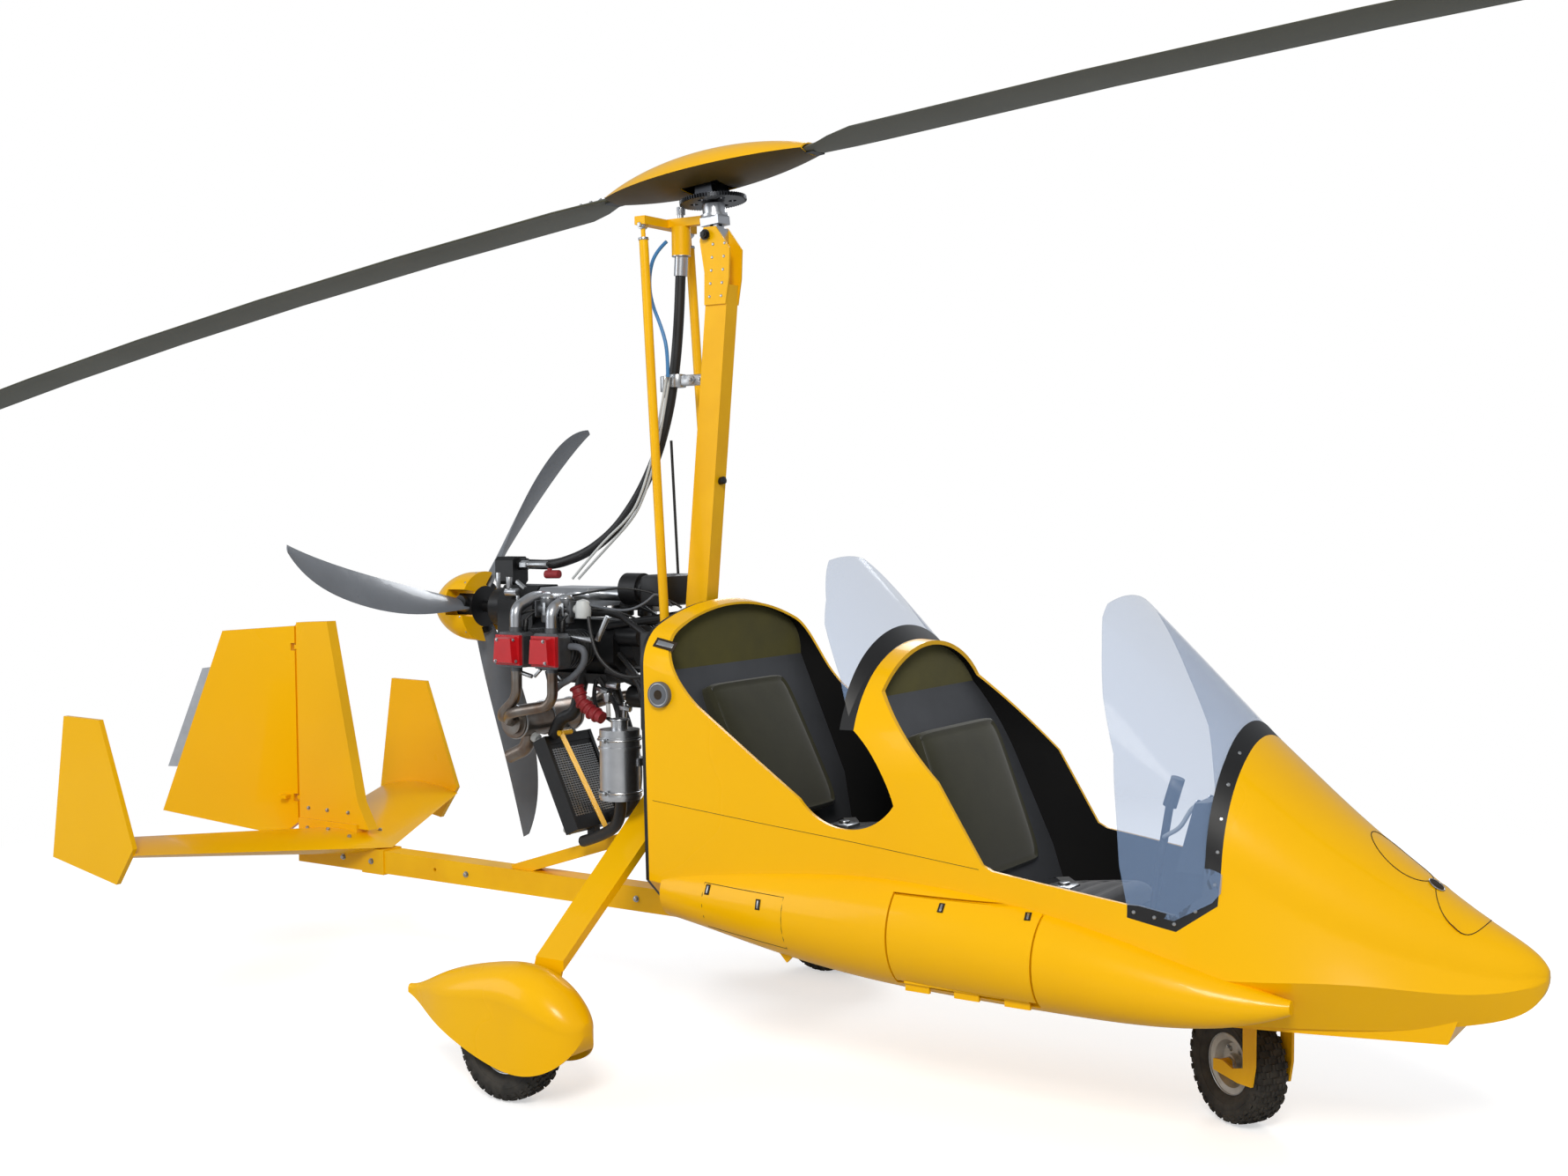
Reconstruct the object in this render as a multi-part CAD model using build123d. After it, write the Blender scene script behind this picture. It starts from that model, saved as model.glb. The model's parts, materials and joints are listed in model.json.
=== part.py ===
from build123d import *
import os
from math import asin, atan, cos, degrees, hypot, pi, radians, sin, sqrt, tan

# A tandem two-seat gyrocopter with open cockpits, a pusher engine and a two-blade teetering rotor.
# All sizes are in millimetres. +X is the nose, +Y is the left side and +Z is up.
# The origin is on the ground straight below the rotor hub.

# Fits and gaps
RUNNING = 0.05            # radial running clearance of a shaft in its bore
SEAT_GAP = 0.3            # gap between curved pieces that sit on each other
MOVING_GAP = 6.0          # gap round a moving piece

# Body shell
BODY_WALL = 12.0
BODY_REAR_X = 30.0
NOSE_SOLID_X = 2300.0     # ahead of this the nose is solid
STATION_SPACING = 130.0
SEAM_REAR_Z = 800.0       # height of the seam between upper and lower shell at the rear
SEAM_FRONT_X = 1140.0
SEAM_FRONT_Z = 700.0
REAR_ARCH_X = 85.0        # front face of the arch behind the rear seat
FRONT_ARCH_X = 775.0      # front face of the arch behind the front seat
REAR_SCREEN_X = 721.0     # base of the rear windshield
FRONT_SCREEN_X = 1766.0   # base of the front windshield
SCREEN_TRIM_WIDTH = 38.0
SCREEN_THICKNESS = 4.0

# Body sections from rear to nose, one row each:
# x, half_bottom, z_bottom, half_side, z_side, half_shoulder, half_top, z_top, z_crown
BODY_SECTIONS = [
    (BODY_REAR_X, 260, 434, 392, 560, 408, 330, 1316, 1380),
    (420, 270, 398, 382, 520, 398, 260, 1280, 1335),
    (770, 280, 350, 372, 480, 380, 200, 1222, 1272),
    (1150, 280, 336, 372, 470, 385, 190, 1240, 1285),
    (1550, 275, 350, 365, 480, 350, 170, 1215, 1262),
    (FRONT_SCREEN_X, 255, 358, 345, 490, 302, 150, 1018, 1058),
    (2060, 180, 370, 258, 500, 215, 100, 790, 815),
    (2300, 95, 398, 145, 485, 118, 50, 638, 650),
    (2420, 40, 437, 66, 498, 54, 22, 574, 580),
    (2462, 8, 503, 14, 514, 11, 4, 533, 534),
]

# Side pods, one row per section: x, z_low, z_top, half_outside
POD_SECTIONS = [
    (75, 452, 598, 402),
    (450, 386, 645, 440),
    (900, 340, 668, 458),
    (1350, 342, 608, 452),
    (1700, 362, 512, 405),
    (1935, 425, 452, 330),
]
POD_INNER_Y = 300.0
POD_WALL = 8.0
STEP_OUTLINE = [(455, 404), (530, 404), (492, 366)]
STEP_Y = (344.0, 354.0)
LOCKER_X = (877.0, 1309.0)
LOCKER_Z = (380.0, 623.0)
LOCKER_DEPTH = 72.0
POD_OUTER_Y = 458.0
LOCKER_HINGE_Y = 402.0
HINGE_RELIEF_R = 16.0
HINGE_PIN_R = 2.5
HINGE_BARREL_R = 5.0

# Nose underpan, plan outline from front to rear: x, half_width
UNDERPAN_PLAN = [(2284, 112), (1950, 205), (1766, 250)]
UNDERPAN_Z = 350.0
BODY_FLOOR_Z = 358.0
UNDERPAN_FRONT_RAKE = 29.0

# Keel, mast and brace
KEEL_SIZE = 80.0
KEEL_Z = 400.0
KEEL_FRONT_X = 15.7
FIREWALL_THICKNESS = 14.0
KEEL_REAR_X = -1900.0
TIE_DOWN_X = -1200.0
TIE_DOWN_R = 6.5
MAST_TOP = (41.0, 2350.0)      # x, z of the tube's centre line
MAST_SLOPE = 0.0957            # forward lean per millimetre of height
MAST_DEPTH = 80.0
MAST_WIDTH = 60.0
CHEEK_THICKNESS = 6.0
CHEEK_TOP_Z = 2530.0

# Rotor: hub centre, disc tilt and blades
HUB_Z = 2690.0
ROTOR_TILT = degrees(atan(0.10))
ROTOR_RADIUS = 4250.0
ROTOR_DROOP = 0.0102e-3        # droop is this times the radius squared
BLADE_CHORD = 215.0
BLADE_THICKNESS = 26.0
BLADE_ROOT_R = 330.0
TEETER_BOLT_R = 8.0
HUB_BAR_LENGTH = 800.0
HUB_BAR_WIDTH = 64.0
HUB_BAR_THICKNESS = 24.0
TOWER_GAP = 6.0
TOWER_THICKNESS = 10.0
RING_GEAR_R = 105.0
RING_GEAR_TEETH = 68
RING_GEAR_THICKNESS = 12.0
RING_GEAR_TOP = -70.0          # below the hub centre, along the rotor axis
SPINDLE_R = 15.0
BEARING_R = 44.0
FAIRING_HALF_LENGTH = 375.0
FAIRING_HALF_WIDTH = 150.0
FAIRING_TOP = 78.0
FAIRING_BOTTOM = -46.0
FAIRING_WALL = 4.0

# Mast head and controls
PIVOT_Z = 2505.0
TORQUE_BAR_Z = 2558.0
TORQUE_BAR_DEPTH = 26.0
PINION_X = -118.0
PINION_R = 14.0
PINION_TEETH = 12
PUSH_ROD_Y = 120.0
PUSH_ROD_LOW_Y = 132.0
PUSH_ROD_TOP_X = -176.0
PUSH_ROD_LOW_X = -92.0
PUSH_ROD_R = 14.5

# Propeller
PROP_X = -1010.0
PROP_Z = 1331.0
PROP_RADIUS = 860.0
PROP_FIRST_ANGLE = 39.5        # from straight up towards the left
PROP_BLADES = 3
PROP_HUB_R = 70.0
SPINNER_R = 120.0
SPINNER_REAR_X = -1192.0
PROP_SHAFT_R = 20.0

# Engine
ENGINE_Z = 1215.0
CRANKCASE_X = (-690.0, -330.0)
CRANKCASE_HALF_WIDTH = 105.0
CRANKCASE_HALF_HEIGHT = 88.0
CYLINDER_X = (-605.0, -455.0)
CYLINDER_R = 58.0
CYLINDER_END_Y = 232.0
FIN_PITCH = 15.0
FIN_THICKNESS = 4.0
HEAD_END_Y = 285.0
GEARBOX_REAR_X = -905.0
FLEX_Z = 1478.0
FLEX_R = 16.5
SILENCER_X = -720.0
SILENCER_Z = 962.0
SILENCER_R = 54.0
SILENCER_HALF_LENGTH = 150.0
IGNITION_R = 70.0
FILTER_Z = 1402.0
STAY_WIDTH = 30.0
RADIATOR_TOP = (-640.0, 905.0)     # x, z
RADIATOR_LOW = (-500.0, 610.0)
RADIATOR_HALF_WIDTH = 105.0
OIL_TANK_XY = (-150.0, -300.0)
OIL_TANK_Z = (775.0, 990.0)
OIL_TANK_R = 62.0
HEAD_HALF = 56.0
COVER_DEPTH = 38.0

# Landing gear
WHEEL_R = 160.0
TYRE_WIDTH = 100.0
RIM_R = 82.0
MAIN_WHEEL_X = -130.0
MAIN_WHEEL_Y = 831.0
AXLE_R = 10.0
LEG_CHORD = 102.0
LEG_THICKNESS = 30.0
LEG_ROOT = (-152.0, 42.0, 785.0)
LEG_TIP = (-36.0, 768.0, 382.0)
PANT_WALL = 5.0

# Wheel pant sections from tail to nose: x, half_width, z_low, z_shoulder, z_crown
PANT_SECTIONS = [
    (-520, 12, 250, 262, 274),
    (-400, 48, 205, 268, 318),
    (-200, 80, 132, 285, 378),
    (-60, 86, 103, 285, 391),
    (60, 80, 122, 250, 350),
    (130, 50, 172, 228, 288),
    (153, 16, 222, 240, 256),
]

# Nose gear: steering axis, trail and the angle that the fork stands at
STEER_X = 1775.0
NOSE_TRAIL = 130.0
NOSE_STEER = -33.0             # towards the right, seen from above
FORK_CROWN_Z = (322.0, 343.0)
FORK_ARM_INSIDE = 57.0
FORK_ARM_THICKNESS = 8.0
STEM_R = 16.0
STEM_TOP_Z = 520.0

# Tail
RUDDER_HINGE_X = -1925.0
RUDDER_ANGLE = 17.0            # trailing edge towards the right
HINGE_TUBE_R = 9.0
HINGE_LUG_Z = (585.0, 1150.0)
HINGE_LUG_HEIGHT = 16.0
HINGE_LUG_R = 15.0
FIN_THICKNESS_Y = 44.0
STAB_HALF_SPAN = 770.0
TIP_FIN_THICKNESS = 18.0


def place(points, plane):
    """A flat face with straight edges through the points, on the plane."""
    return plane * make_face(Polyline(*points, close=True))


def plate_y(outline, y_low, y_high):
    """A plate with a side outline (x, z), from y_low to y_high."""
    plane = Plane((0, y_high, 0), x_dir=(1, 0, 0), z_dir=(0, -1, 0))
    return extrude(place(outline, plane), amount=y_high - y_low)


def plate_z(outline, z_low, z_high):
    """A plate with a plan outline (x, y), from z_low to z_high."""
    return extrude(place(outline, Plane((0, 0, z_low))), amount=z_high - z_low)


def plate_x(outline, x_low, x_high):
    """A plate with a front outline (y, z), from x_low to x_high."""
    plane = Plane((x_low, 0, 0), x_dir=(0, 1, 0), z_dir=(1, 0, 0))
    return extrude(place(outline, plane), amount=x_high - x_low)


def block(x_range, y_range, z_range):
    """A box between three pairs of limits."""
    size = [high - low for low, high in (x_range, y_range, z_range)]
    middle = [(high + low) / 2 for low, high in (x_range, y_range, z_range)]
    return Pos(*middle) * Box(*size)


def rod(start, end, radius):
    """A round bar between two points."""
    axis = Vector(*end) - Vector(*start)
    plane = Plane(origin=start, z_dir=axis)
    return extrude(plane * Circle(radius), amount=axis.length)


def bar(start, end, width, depth):
    """A rectangular bar between two points; width lies across Y where it can."""
    axis = Vector(*end) - Vector(*start)
    plane = Plane(origin=start, x_dir=Vector(0, 1, 0).cross(axis), z_dir=axis)
    return extrude(plane * Rectangle(depth, width), amount=axis.length)


def mirrored(shape):
    """The same shape on the other side of the aircraft."""
    return mirror(shape, about=Plane.XZ)


def both_sides(shape):
    """A shape and its mirror image."""
    return shape + mirrored(shape)


def pipe(points, radius, bend_share=0.45):
    """A tube along straight runs joined by tangent arcs as large as the runs allow."""
    vectors = [Vector(*p) for p in points]
    radii = []
    for before, corner, after in zip(vectors, vectors[1:], vectors[2:]):
        incoming = corner - before
        outgoing = after - corner
        turn = radians(incoming.get_angle(outgoing))
        radii.append(bend_share * min(incoming.length, outgoing.length) / tan(turn / 2))
    path = FilletPolyline(*points, radius=radii) if radii else Line(*points)
    start = Plane(origin=points[0], z_dir=vectors[1] - vectors[0])
    return sweep(start * Circle(radius), path=path)


def write(name, shape):
    """Store one named piece."""
    export_step(shape, f"parts/{name}.step")


def in_rotor_frame(shape):
    """Move a shape drawn round the hub centre into the tilted rotor disc."""
    return Pos(0, 0, HUB_Z) * Rot(0, -ROTOR_TILT, 0) * shape


def body_face(row, inset=0.0):
    """One cross-section of the body: flat bottom, sloped bilge, flank, shoulder arc and crown arc."""
    x, half_bottom, z_bottom, half_side, z_side, half_shoulder, half_top, z_top, z_crown = row
    half_bottom -= inset / 2
    z_bottom += inset
    half_side -= inset
    half_shoulder -= inset
    half_top -= inset / 2
    z_top -= inset
    z_crown -= inset
    rise = z_crown - z_top
    crown_radius = (half_top ** 2 + rise ** 2) / (2 * rise)
    slope = degrees(asin(half_top / crown_radius))
    chord_angle = radians((slope + 90) / 2)
    drop = (half_shoulder - half_top) * tan(chord_angle)
    shoulder = (half_shoulder, z_top - drop)
    top = (half_top, z_top)
    heading = (cos(radians(slope)), -sin(radians(slope)))
    right_edges = [
        Line((half_bottom, z_bottom), (half_side, z_side)),
        Line((half_side, z_side), shoulder),
        TangentArc(top, shoulder, tangent=heading),
    ]
    left_edges = [mirror(edge, about=Plane.YZ) for edge in right_edges]
    crown = ThreePointArc(top, (0, z_crown), (-half_top, z_top))
    bottom = Line((-half_bottom, z_bottom), (half_bottom, z_bottom))
    plane = Plane((x, 0, 0), x_dir=(0, 1, 0), z_dir=(1, 0, 0))
    return plane * make_face([bottom, *right_edges, crown, *left_edges])


def slopes(places, values):
    """Slopes for a curve through the values that never swings past them."""
    steps = [after - before for before, after in zip(places, places[1:])]
    rates = [(after - before) / step for before, after, step in zip(values, values[1:], steps)]
    result = [rates[0]]
    for left_step, right_step, left_rate, right_rate in zip(steps, steps[1:], rates, rates[1:]):
        if left_rate * right_rate <= 0:
            result.append(0.0)
        else:
            left_weight = 2 * right_step + left_step
            right_weight = right_step + 2 * left_step
            result.append((left_weight + right_weight) / (left_weight / left_rate + right_weight / right_rate))
    return result + [rates[-1]]


def faired(rows, spacing):
    """The section rows with faired rows between them, no further apart than the spacing."""
    places = [row[0] for row in rows]
    columns = list(zip(*rows))
    column_slopes = [slopes(places, column) for column in columns]
    result = [rows[0]]
    for index, (before, after) in enumerate(zip(rows, rows[1:])):
        length = after[0] - before[0]
        parts = max(1, round(length / spacing))
        for part in range(1, parts + 1):
            t = part / parts
            row = []
            for start, end, slope in zip(before, after, column_slopes):
                row.append(start * (2 * t ** 3 - 3 * t ** 2 + 1) + end * (3 * t ** 2 - 2 * t ** 3)
                           + length * (slope[index] * (t ** 3 - 2 * t ** 2 + t)
                                       + slope[index + 1] * (t ** 3 - t ** 2)))
            result.append(tuple(row))
    return result


def body_solid(inset=0.0, last=None):
    """The loft through the faired body sections, inset by a wall for the inside."""
    rows = [row for row in faired(BODY_SECTIONS, STATION_SPACING) if last is None or row[0] <= last]
    return loft([body_face(row, inset) for row in rows])


def body_shells():
    """The hollow body with both cockpits open, split along its seam, and the two screen base trims."""
    outer = body_solid()
    shell = outer - body_solid(BODY_WALL, NOSE_SOLID_X)
    reach = 600.0
    high = 1600.0
    rear_edges = [
        Line((REAR_ARCH_X, high), (REAR_ARCH_X, 1330)),
        ThreePointArc((REAR_ARCH_X, 1330), (118, 1220), (220, 1088)),
        Line((220, 1088), (560, 846)),
        ThreePointArc((560, 846), (760, 778), (862, 850)),
        ThreePointArc((862, 850), (815, 950), (REAR_SCREEN_X + 4, 1046)),
        Line((REAR_SCREEN_X + 4, 1046), (REAR_SCREEN_X, high)),
        Line((REAR_SCREEN_X, high), (REAR_ARCH_X, high)),
    ]
    front_edges = [
        Line((FRONT_ARCH_X, high), (FRONT_ARCH_X, 1150)),
        ThreePointArc((FRONT_ARCH_X, 1150), (880, 1040), (1000, 925)),
        Line((1000, 925), (1130, 716)),
        Line((1130, 716), (1160, 702)),
        Line((1160, 702), (1530, 654)),
        Line((1530, 654), (1530, 622)),
        Line((1530, 622), (1655, 598)),
        Line((1655, 598), (1752, 668)),
        Line((1752, 668), (FRONT_SCREEN_X, 1020)),
        Line((FRONT_SCREEN_X, 1020), (FRONT_SCREEN_X, high)),
        Line((FRONT_SCREEN_X, high), (FRONT_ARCH_X, high)),
    ]
    side = Plane((0, reach, 0), x_dir=(1, 0, 0), z_dir=(0, -1, 0))
    rear_cut = extrude(side * make_face(rear_edges), amount=2 * reach)
    front_cut = extrude(side * make_face(front_edges), amount=2 * reach)
    width = SCREEN_TRIM_WIDTH
    rear_band = block((REAR_SCREEN_X - width, REAR_SCREEN_X + 4), (-reach, reach), (1046, high))
    front_band = plate_y([
        (1530, 654), (1530, 622), (1655, 598), (1752, 668), (FRONT_SCREEN_X, 1020),
        (FRONT_SCREEN_X, high), (FRONT_SCREEN_X - width, high), (FRONT_SCREEN_X - width, 1020),
        (1752 - width, 690), (1650, 638), (1560, 654),
    ], -reach, reach)
    trims = (shell & rear_cut & rear_band, shell & front_cut & front_band)
    shell = shell - rear_cut - front_cut
    upper_zone = plate_y([
        (BODY_REAR_X - 10, SEAM_REAR_Z), (SEAM_FRONT_X, SEAM_FRONT_Z), (SEAM_FRONT_X, high),
        (BODY_REAR_X - 10, high),
    ], -reach, reach)
    upper = shell & upper_zone
    lower = shell - upper_zone
    return outer, upper, lower, trims


def main_solid(shape):
    """The largest solid of a cut, without its chips."""
    return max(shape.solids(), key=lambda solid: solid.volume)


def screen_sheet(rows, outline):
    """A windshield: the skin of a loft through (x, half_low, z_low, half_shoulder, z_shoulder,
    half_top, z_top, z_crown) rows, cut to a side outline."""
    def face(row, inset):
        x, half_low, z_low, half_shoulder, z_shoulder, half_top, z_top, z_crown = row
        right = [
            Line((half_low - inset, z_low), (half_shoulder - inset, z_shoulder)),
            ThreePointArc(
                (half_shoulder - inset, z_shoulder),
                ((half_shoulder + half_top) / 2 + 0.13 * (half_shoulder - half_top) - inset * 0.8,
                 (z_shoulder + z_top) / 2 + 0.13 * (z_top - z_shoulder) - inset * 0.4),
                (half_top - inset * 0.5, z_top - inset * 0.9)),
        ]
        left = [mirror(edge, about=Plane.YZ) for edge in right]
        top = half_top - inset * 0.5, z_top - inset * 0.9
        crown = ThreePointArc(top, (0, z_crown - inset), (-top[0], top[1]))
        bottom = Line((-half_low + inset, z_low), (half_low - inset, z_low))
        plane = Plane((x, 0, 0), x_dir=(0, 1, 0), z_dir=(1, 0, 0))
        return plane * make_face([bottom, *right, crown, *left])
    outer = loft([face(row, 0.0) for row in rows])
    inner = loft([face(row, SCREEN_THICKNESS) for row in rows])
    sheet = (outer - inner) & plate_y(outline, -600, 600)
    return main_solid(sheet)


def pod_loft(body):
    """The left pod as a full solid that lies against the body."""
    faces = []
    for x, z_low, z_top, half_outside in POD_SECTIONS:
        middle = (z_low + z_top) / 2
        curve = ThreePointArc((POD_INNER_Y, z_low), (half_outside, middle), (POD_INNER_Y, z_top))
        closing = Line((POD_INNER_Y, z_top), (POD_INNER_Y, z_low))
        plane = Plane((x, 0, 0), x_dir=(0, 1, 0), z_dir=(1, 0, 0))
        faces.append(plane * make_face([curve, closing]))
    return main_solid(loft(faces) - body)


def locker(pod):
    """The left pod with its locker cut open, and the door that hinges along its lower edge."""
    hinge_y = LOCKER_HINGE_Y
    hinge_z = LOCKER_Z[0]
    gap = MOVING_GAP
    mouth = block(LOCKER_X, (POD_INNER_Y, 520), (hinge_z - gap, LOCKER_Z[1]))
    back = POD_OUTER_Y - LOCKER_DEPTH
    hollow = block((LOCKER_X[0] + 20, LOCKER_X[1] - 20), (back, 520), (hinge_z + 22, LOCKER_Z[1] - 22))
    leaf_zone = block(
        (LOCKER_X[0] + gap, LOCKER_X[1] - gap), (POD_INNER_Y, 520), (hinge_z + gap - 4, LOCKER_Z[1] - gap))
    inner_pod = Pos(0, -POD_WALL, 0) * pod
    leaf = main_solid((pod - inner_pod) & leaf_zone)
    skin_zone = mouth & (pod - Pos(0, -POD_WALL - gap, 0) * pod)
    relief = rod((LOCKER_X[0], hinge_y, hinge_z), (LOCKER_X[1], hinge_y, hinge_z), HINGE_RELIEF_R)
    opened = main_solid(pod - skin_zone - hollow - relief)
    low = LOCKER_X[0] + 30
    fifth = (LOCKER_X[1] - 30 - low) / 5
    for step in range(5):
        start = low + fifth * step + 0.5
        end = start + fifth - 1
        barrel = rod((start, hinge_y, hinge_z), (end, hinge_y, hinge_z), HINGE_BARREL_R)
        if step % 2 == 0:
            leaf -= rod((start - 1, hinge_y, hinge_z), (end + 1, hinge_y, hinge_z), HINGE_BARREL_R + 2)
            foot = block((start, end), (hinge_y - 12, hinge_y - 2), (hinge_z - 24, hinge_z))
            opened = opened + barrel + foot
        else:
            lug = block((start, end), (hinge_y - 6, hinge_y + 1), (hinge_z, hinge_z + 7))
            bore = rod((start, hinge_y, hinge_z), (end, hinge_y, hinge_z), HINGE_PIN_R + RUNNING)
            leaf = leaf + barrel + lug - bore
    pin = rod((low + 0.5, hinge_y, hinge_z), (low + 5 * fifth - 0.5, hinge_y, hinge_z), HINGE_PIN_R)
    return opened + pin, leaf


def arch_loft(sections, across, inset=0.0):
    """A loft of upright U-shapes along X round the plane y = across:
    each (x, half_width, z_low, z_shoulder, z_crown)."""
    faces = []
    for x, half_width, z_low, z_shoulder, z_crown in sections:
        half = half_width - inset
        foot = z_low if inset == 0 else z_low - 1
        plane = Plane((x, across, 0), x_dir=(0, 1, 0), z_dir=(1, 0, 0))
        faces.append(plane * make_face([
            Line((-half, foot), (half, foot)),
            Line((half, foot), (half, z_shoulder)),
            ThreePointArc((half, z_shoulder), (0, z_crown - inset), (-half, z_shoulder)),
            Line((-half, z_shoulder), (-half, foot)),
        ]))
    return loft(faces)


def wheel():
    """A tyre and a rim that turn about the Y axis through the origin."""
    half = TYRE_WIDTH / 2
    bead = RIM_R
    tread_half = half - 14
    tyre_profile = make_face([
        Line((bead, -half + 18), (bead, half - 18)),
        Line((bead, half - 18), (bead + 10, half - 6)),
        ThreePointArc((bead + 10, half - 6), (WHEEL_R - 34, half), (WHEEL_R - 12, tread_half + 4)),
        ThreePointArc((WHEEL_R - 12, tread_half + 4), (WHEEL_R, 0), (WHEEL_R - 12, -tread_half - 4)),
        ThreePointArc((WHEEL_R - 12, -tread_half - 4), (WHEEL_R - 34, -half), (bead + 10, -half + 6)),
        Line((bead + 10, -half + 6), (bead, -half + 18)),
    ])
    tyre = revolve(tyre_profile, axis=Axis.Y, revolution_arc=360)
    bore = AXLE_R + RUNNING
    rim_profile = make_face(Polyline(
        (bore, -26), (26, -26), (26, -9), (52, -9), (64, -half + 22), (bead, -half + 18),
        (bead, half - 18), (64, half - 22), (52, 9), (26, 9), (26, 26), (bore, 26), close=True))
    rim = revolve(rim_profile, axis=Axis.Y, revolution_arc=360)
    hole = rod((39, -40, 0), (39, 40, 0), 8)
    for step in range(6):
        rim = rim - Rot(0, 60 * step, 0) * hole
    return tyre, rim


def main_gear():
    """The left leg with its axle plate and stub axle, and the hollow wheel pant."""
    x, y, z = MAIN_WHEEL_X, MAIN_WHEEL_Y, WHEEL_R
    root = Plane(origin=LEG_ROOT, x_dir=(1, 0, 0), z_dir=(0, 1, 0))
    tip = Plane(origin=LEG_TIP, x_dir=(1, 0, 0), z_dir=(0, 1, 0))
    leg = loft([root * Rectangle(LEG_CHORD + 20, LEG_THICKNESS + 8), tip * Rectangle(LEG_CHORD, LEG_THICKNESS)])
    plate_y_low = LEG_TIP[1] - 8
    plate = plate_y([
        (LEG_TIP[0] - 51, LEG_TIP[2] + 12), (LEG_TIP[0] + 51, LEG_TIP[2] + 12),
        (LEG_TIP[0] + 40, LEG_TIP[2] - 30), (x + 34, z - 24), (x - 34, z - 24),
    ], plate_y_low, LEG_TIP[1])
    axle = rod((x, LEG_TIP[1] - 4, z), (x, y + 34, z), AXLE_R)
    collar = rod((x, LEG_TIP[1] - 4, z), (x, y - 26 - SEAT_GAP, z), AXLE_R + 8)
    leg = leg + plate + axle + collar
    pant = arch_loft(PANT_SECTIONS, y) - arch_loft(PANT_SECTIONS[1:6], y, PANT_WALL)
    mouth = block((x - 178, x + 184), (y - 62, y + 62), (60, 180))
    boot = block((LEG_TIP[0] - 62, LEG_TIP[0] + 62), (y - 100, LEG_TIP[1] + 12), (z + 120, LEG_TIP[2] + 40))
    pant = main_solid(pant - mouth - boot - leg)
    return leg, pant


def nose_gear():
    """The steered fork with its stem, and the fixed steering head that carries it."""
    low, high = FORK_CROWN_Z
    inner = FORK_ARM_INSIDE
    outer = inner + FORK_ARM_THICKNESS
    half_head = 34.0
    crown = block((-half_head, half_head), (-outer, outer), (low, high))
    arm = plate_y([
        (-26, high), (22, high), (20, 196), (8, WHEEL_R - 20), (-50, WHEEL_R - 24),
        (-NOSE_TRAIL - 22, WHEEL_R - 16), (-NOSE_TRAIL - 22, WHEEL_R + 14), (-NOSE_TRAIL + 18, WHEEL_R + 20),
        (-70, WHEEL_R + 8), (-26, WHEEL_R + 22),
    ], inner, outer)
    axle = rod((-NOSE_TRAIL, -outer, WHEEL_R), (-NOSE_TRAIL, outer, WHEEL_R), AXLE_R)
    collar = rod((-NOSE_TRAIL, 26 + SEAT_GAP, WHEEL_R), (-NOSE_TRAIL, outer, WHEEL_R), AXLE_R + 7)
    stem = rod((0, 0, low), (0, 0, STEM_TOP_Z), STEM_R)
    fork = crown + both_sides(arm) + axle + both_sides(collar) + stem
    fork = Pos(STEER_X, 0, 0) * Rot(0, 0, NOSE_STEER) * fork
    head_low = BODY_FLOOR_Z + BODY_WALL
    head = rod((STEER_X, 0, head_low), (STEER_X, 0, STEM_TOP_Z - 12), STEM_R + 12)
    flange = rod((STEER_X, 0, head_low), (STEER_X, 0, head_low + 10), STEM_R + 40)
    bore = rod((STEER_X, 0, head_low - 5), (STEER_X, 0, STEM_TOP_Z + 5), STEM_R + RUNNING)
    return fork, head + flange - bore


def blade_section(x, chord, thickness, lead, level, pitch=0.0):
    """An aerofoil outline at distance x: nose arc, upper and lower arcs and a thin tail."""
    nose = (lead, 0)
    tail = (lead - chord, 0)
    edge = 1.2
    upper = ThreePointArc((tail[0], edge), (lead - 0.36 * chord, thickness * 0.62), (lead, thickness * 0.12))
    lower = ThreePointArc((lead, -thickness * 0.12), (lead - 0.36 * chord, -thickness * 0.38), (tail[0], -edge))
    front = ThreePointArc(
        (lead, thickness * 0.12), (lead + thickness * 0.14, 0), (lead, -thickness * 0.12))
    back = Line((tail[0], -edge), (tail[0], edge))
    plane = Plane((x, 0, level), x_dir=(0, 1, 0), z_dir=(1, 0, 0))
    return plane * Rot(0, 0, pitch) * make_face([upper, front, lower, back])


def rotor_blade():
    """One blade along +X, drooping to its tip, with the root tapering down to the hub straps."""
    def droop(radius):
        return -ROTOR_DROOP * radius ** 2
    root = BLADE_ROOT_R
    tip = ROTOR_RADIUS - 40
    full = (BLADE_CHORD, BLADE_THICKNESS, 62)
    stations = [(root, 70, 24, 35), (root + 90, 110, 26, 45), (root + 170, 168, 27, 55), (root + 270, *full)]
    span_steps = 5
    for step in range(1, span_steps + 1):
        start = root + 270
        stations.append((start + (tip - start) * step / span_steps, *full))
    stations.append((ROTOR_RADIUS, BLADE_CHORD - 60, BLADE_THICKNESS * 0.5, 40))
    faces = [blade_section(x, chord, thick, lead, droop(x)) for x, chord, thick, lead in stations]
    return loft(faces, ruled=True)


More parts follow.
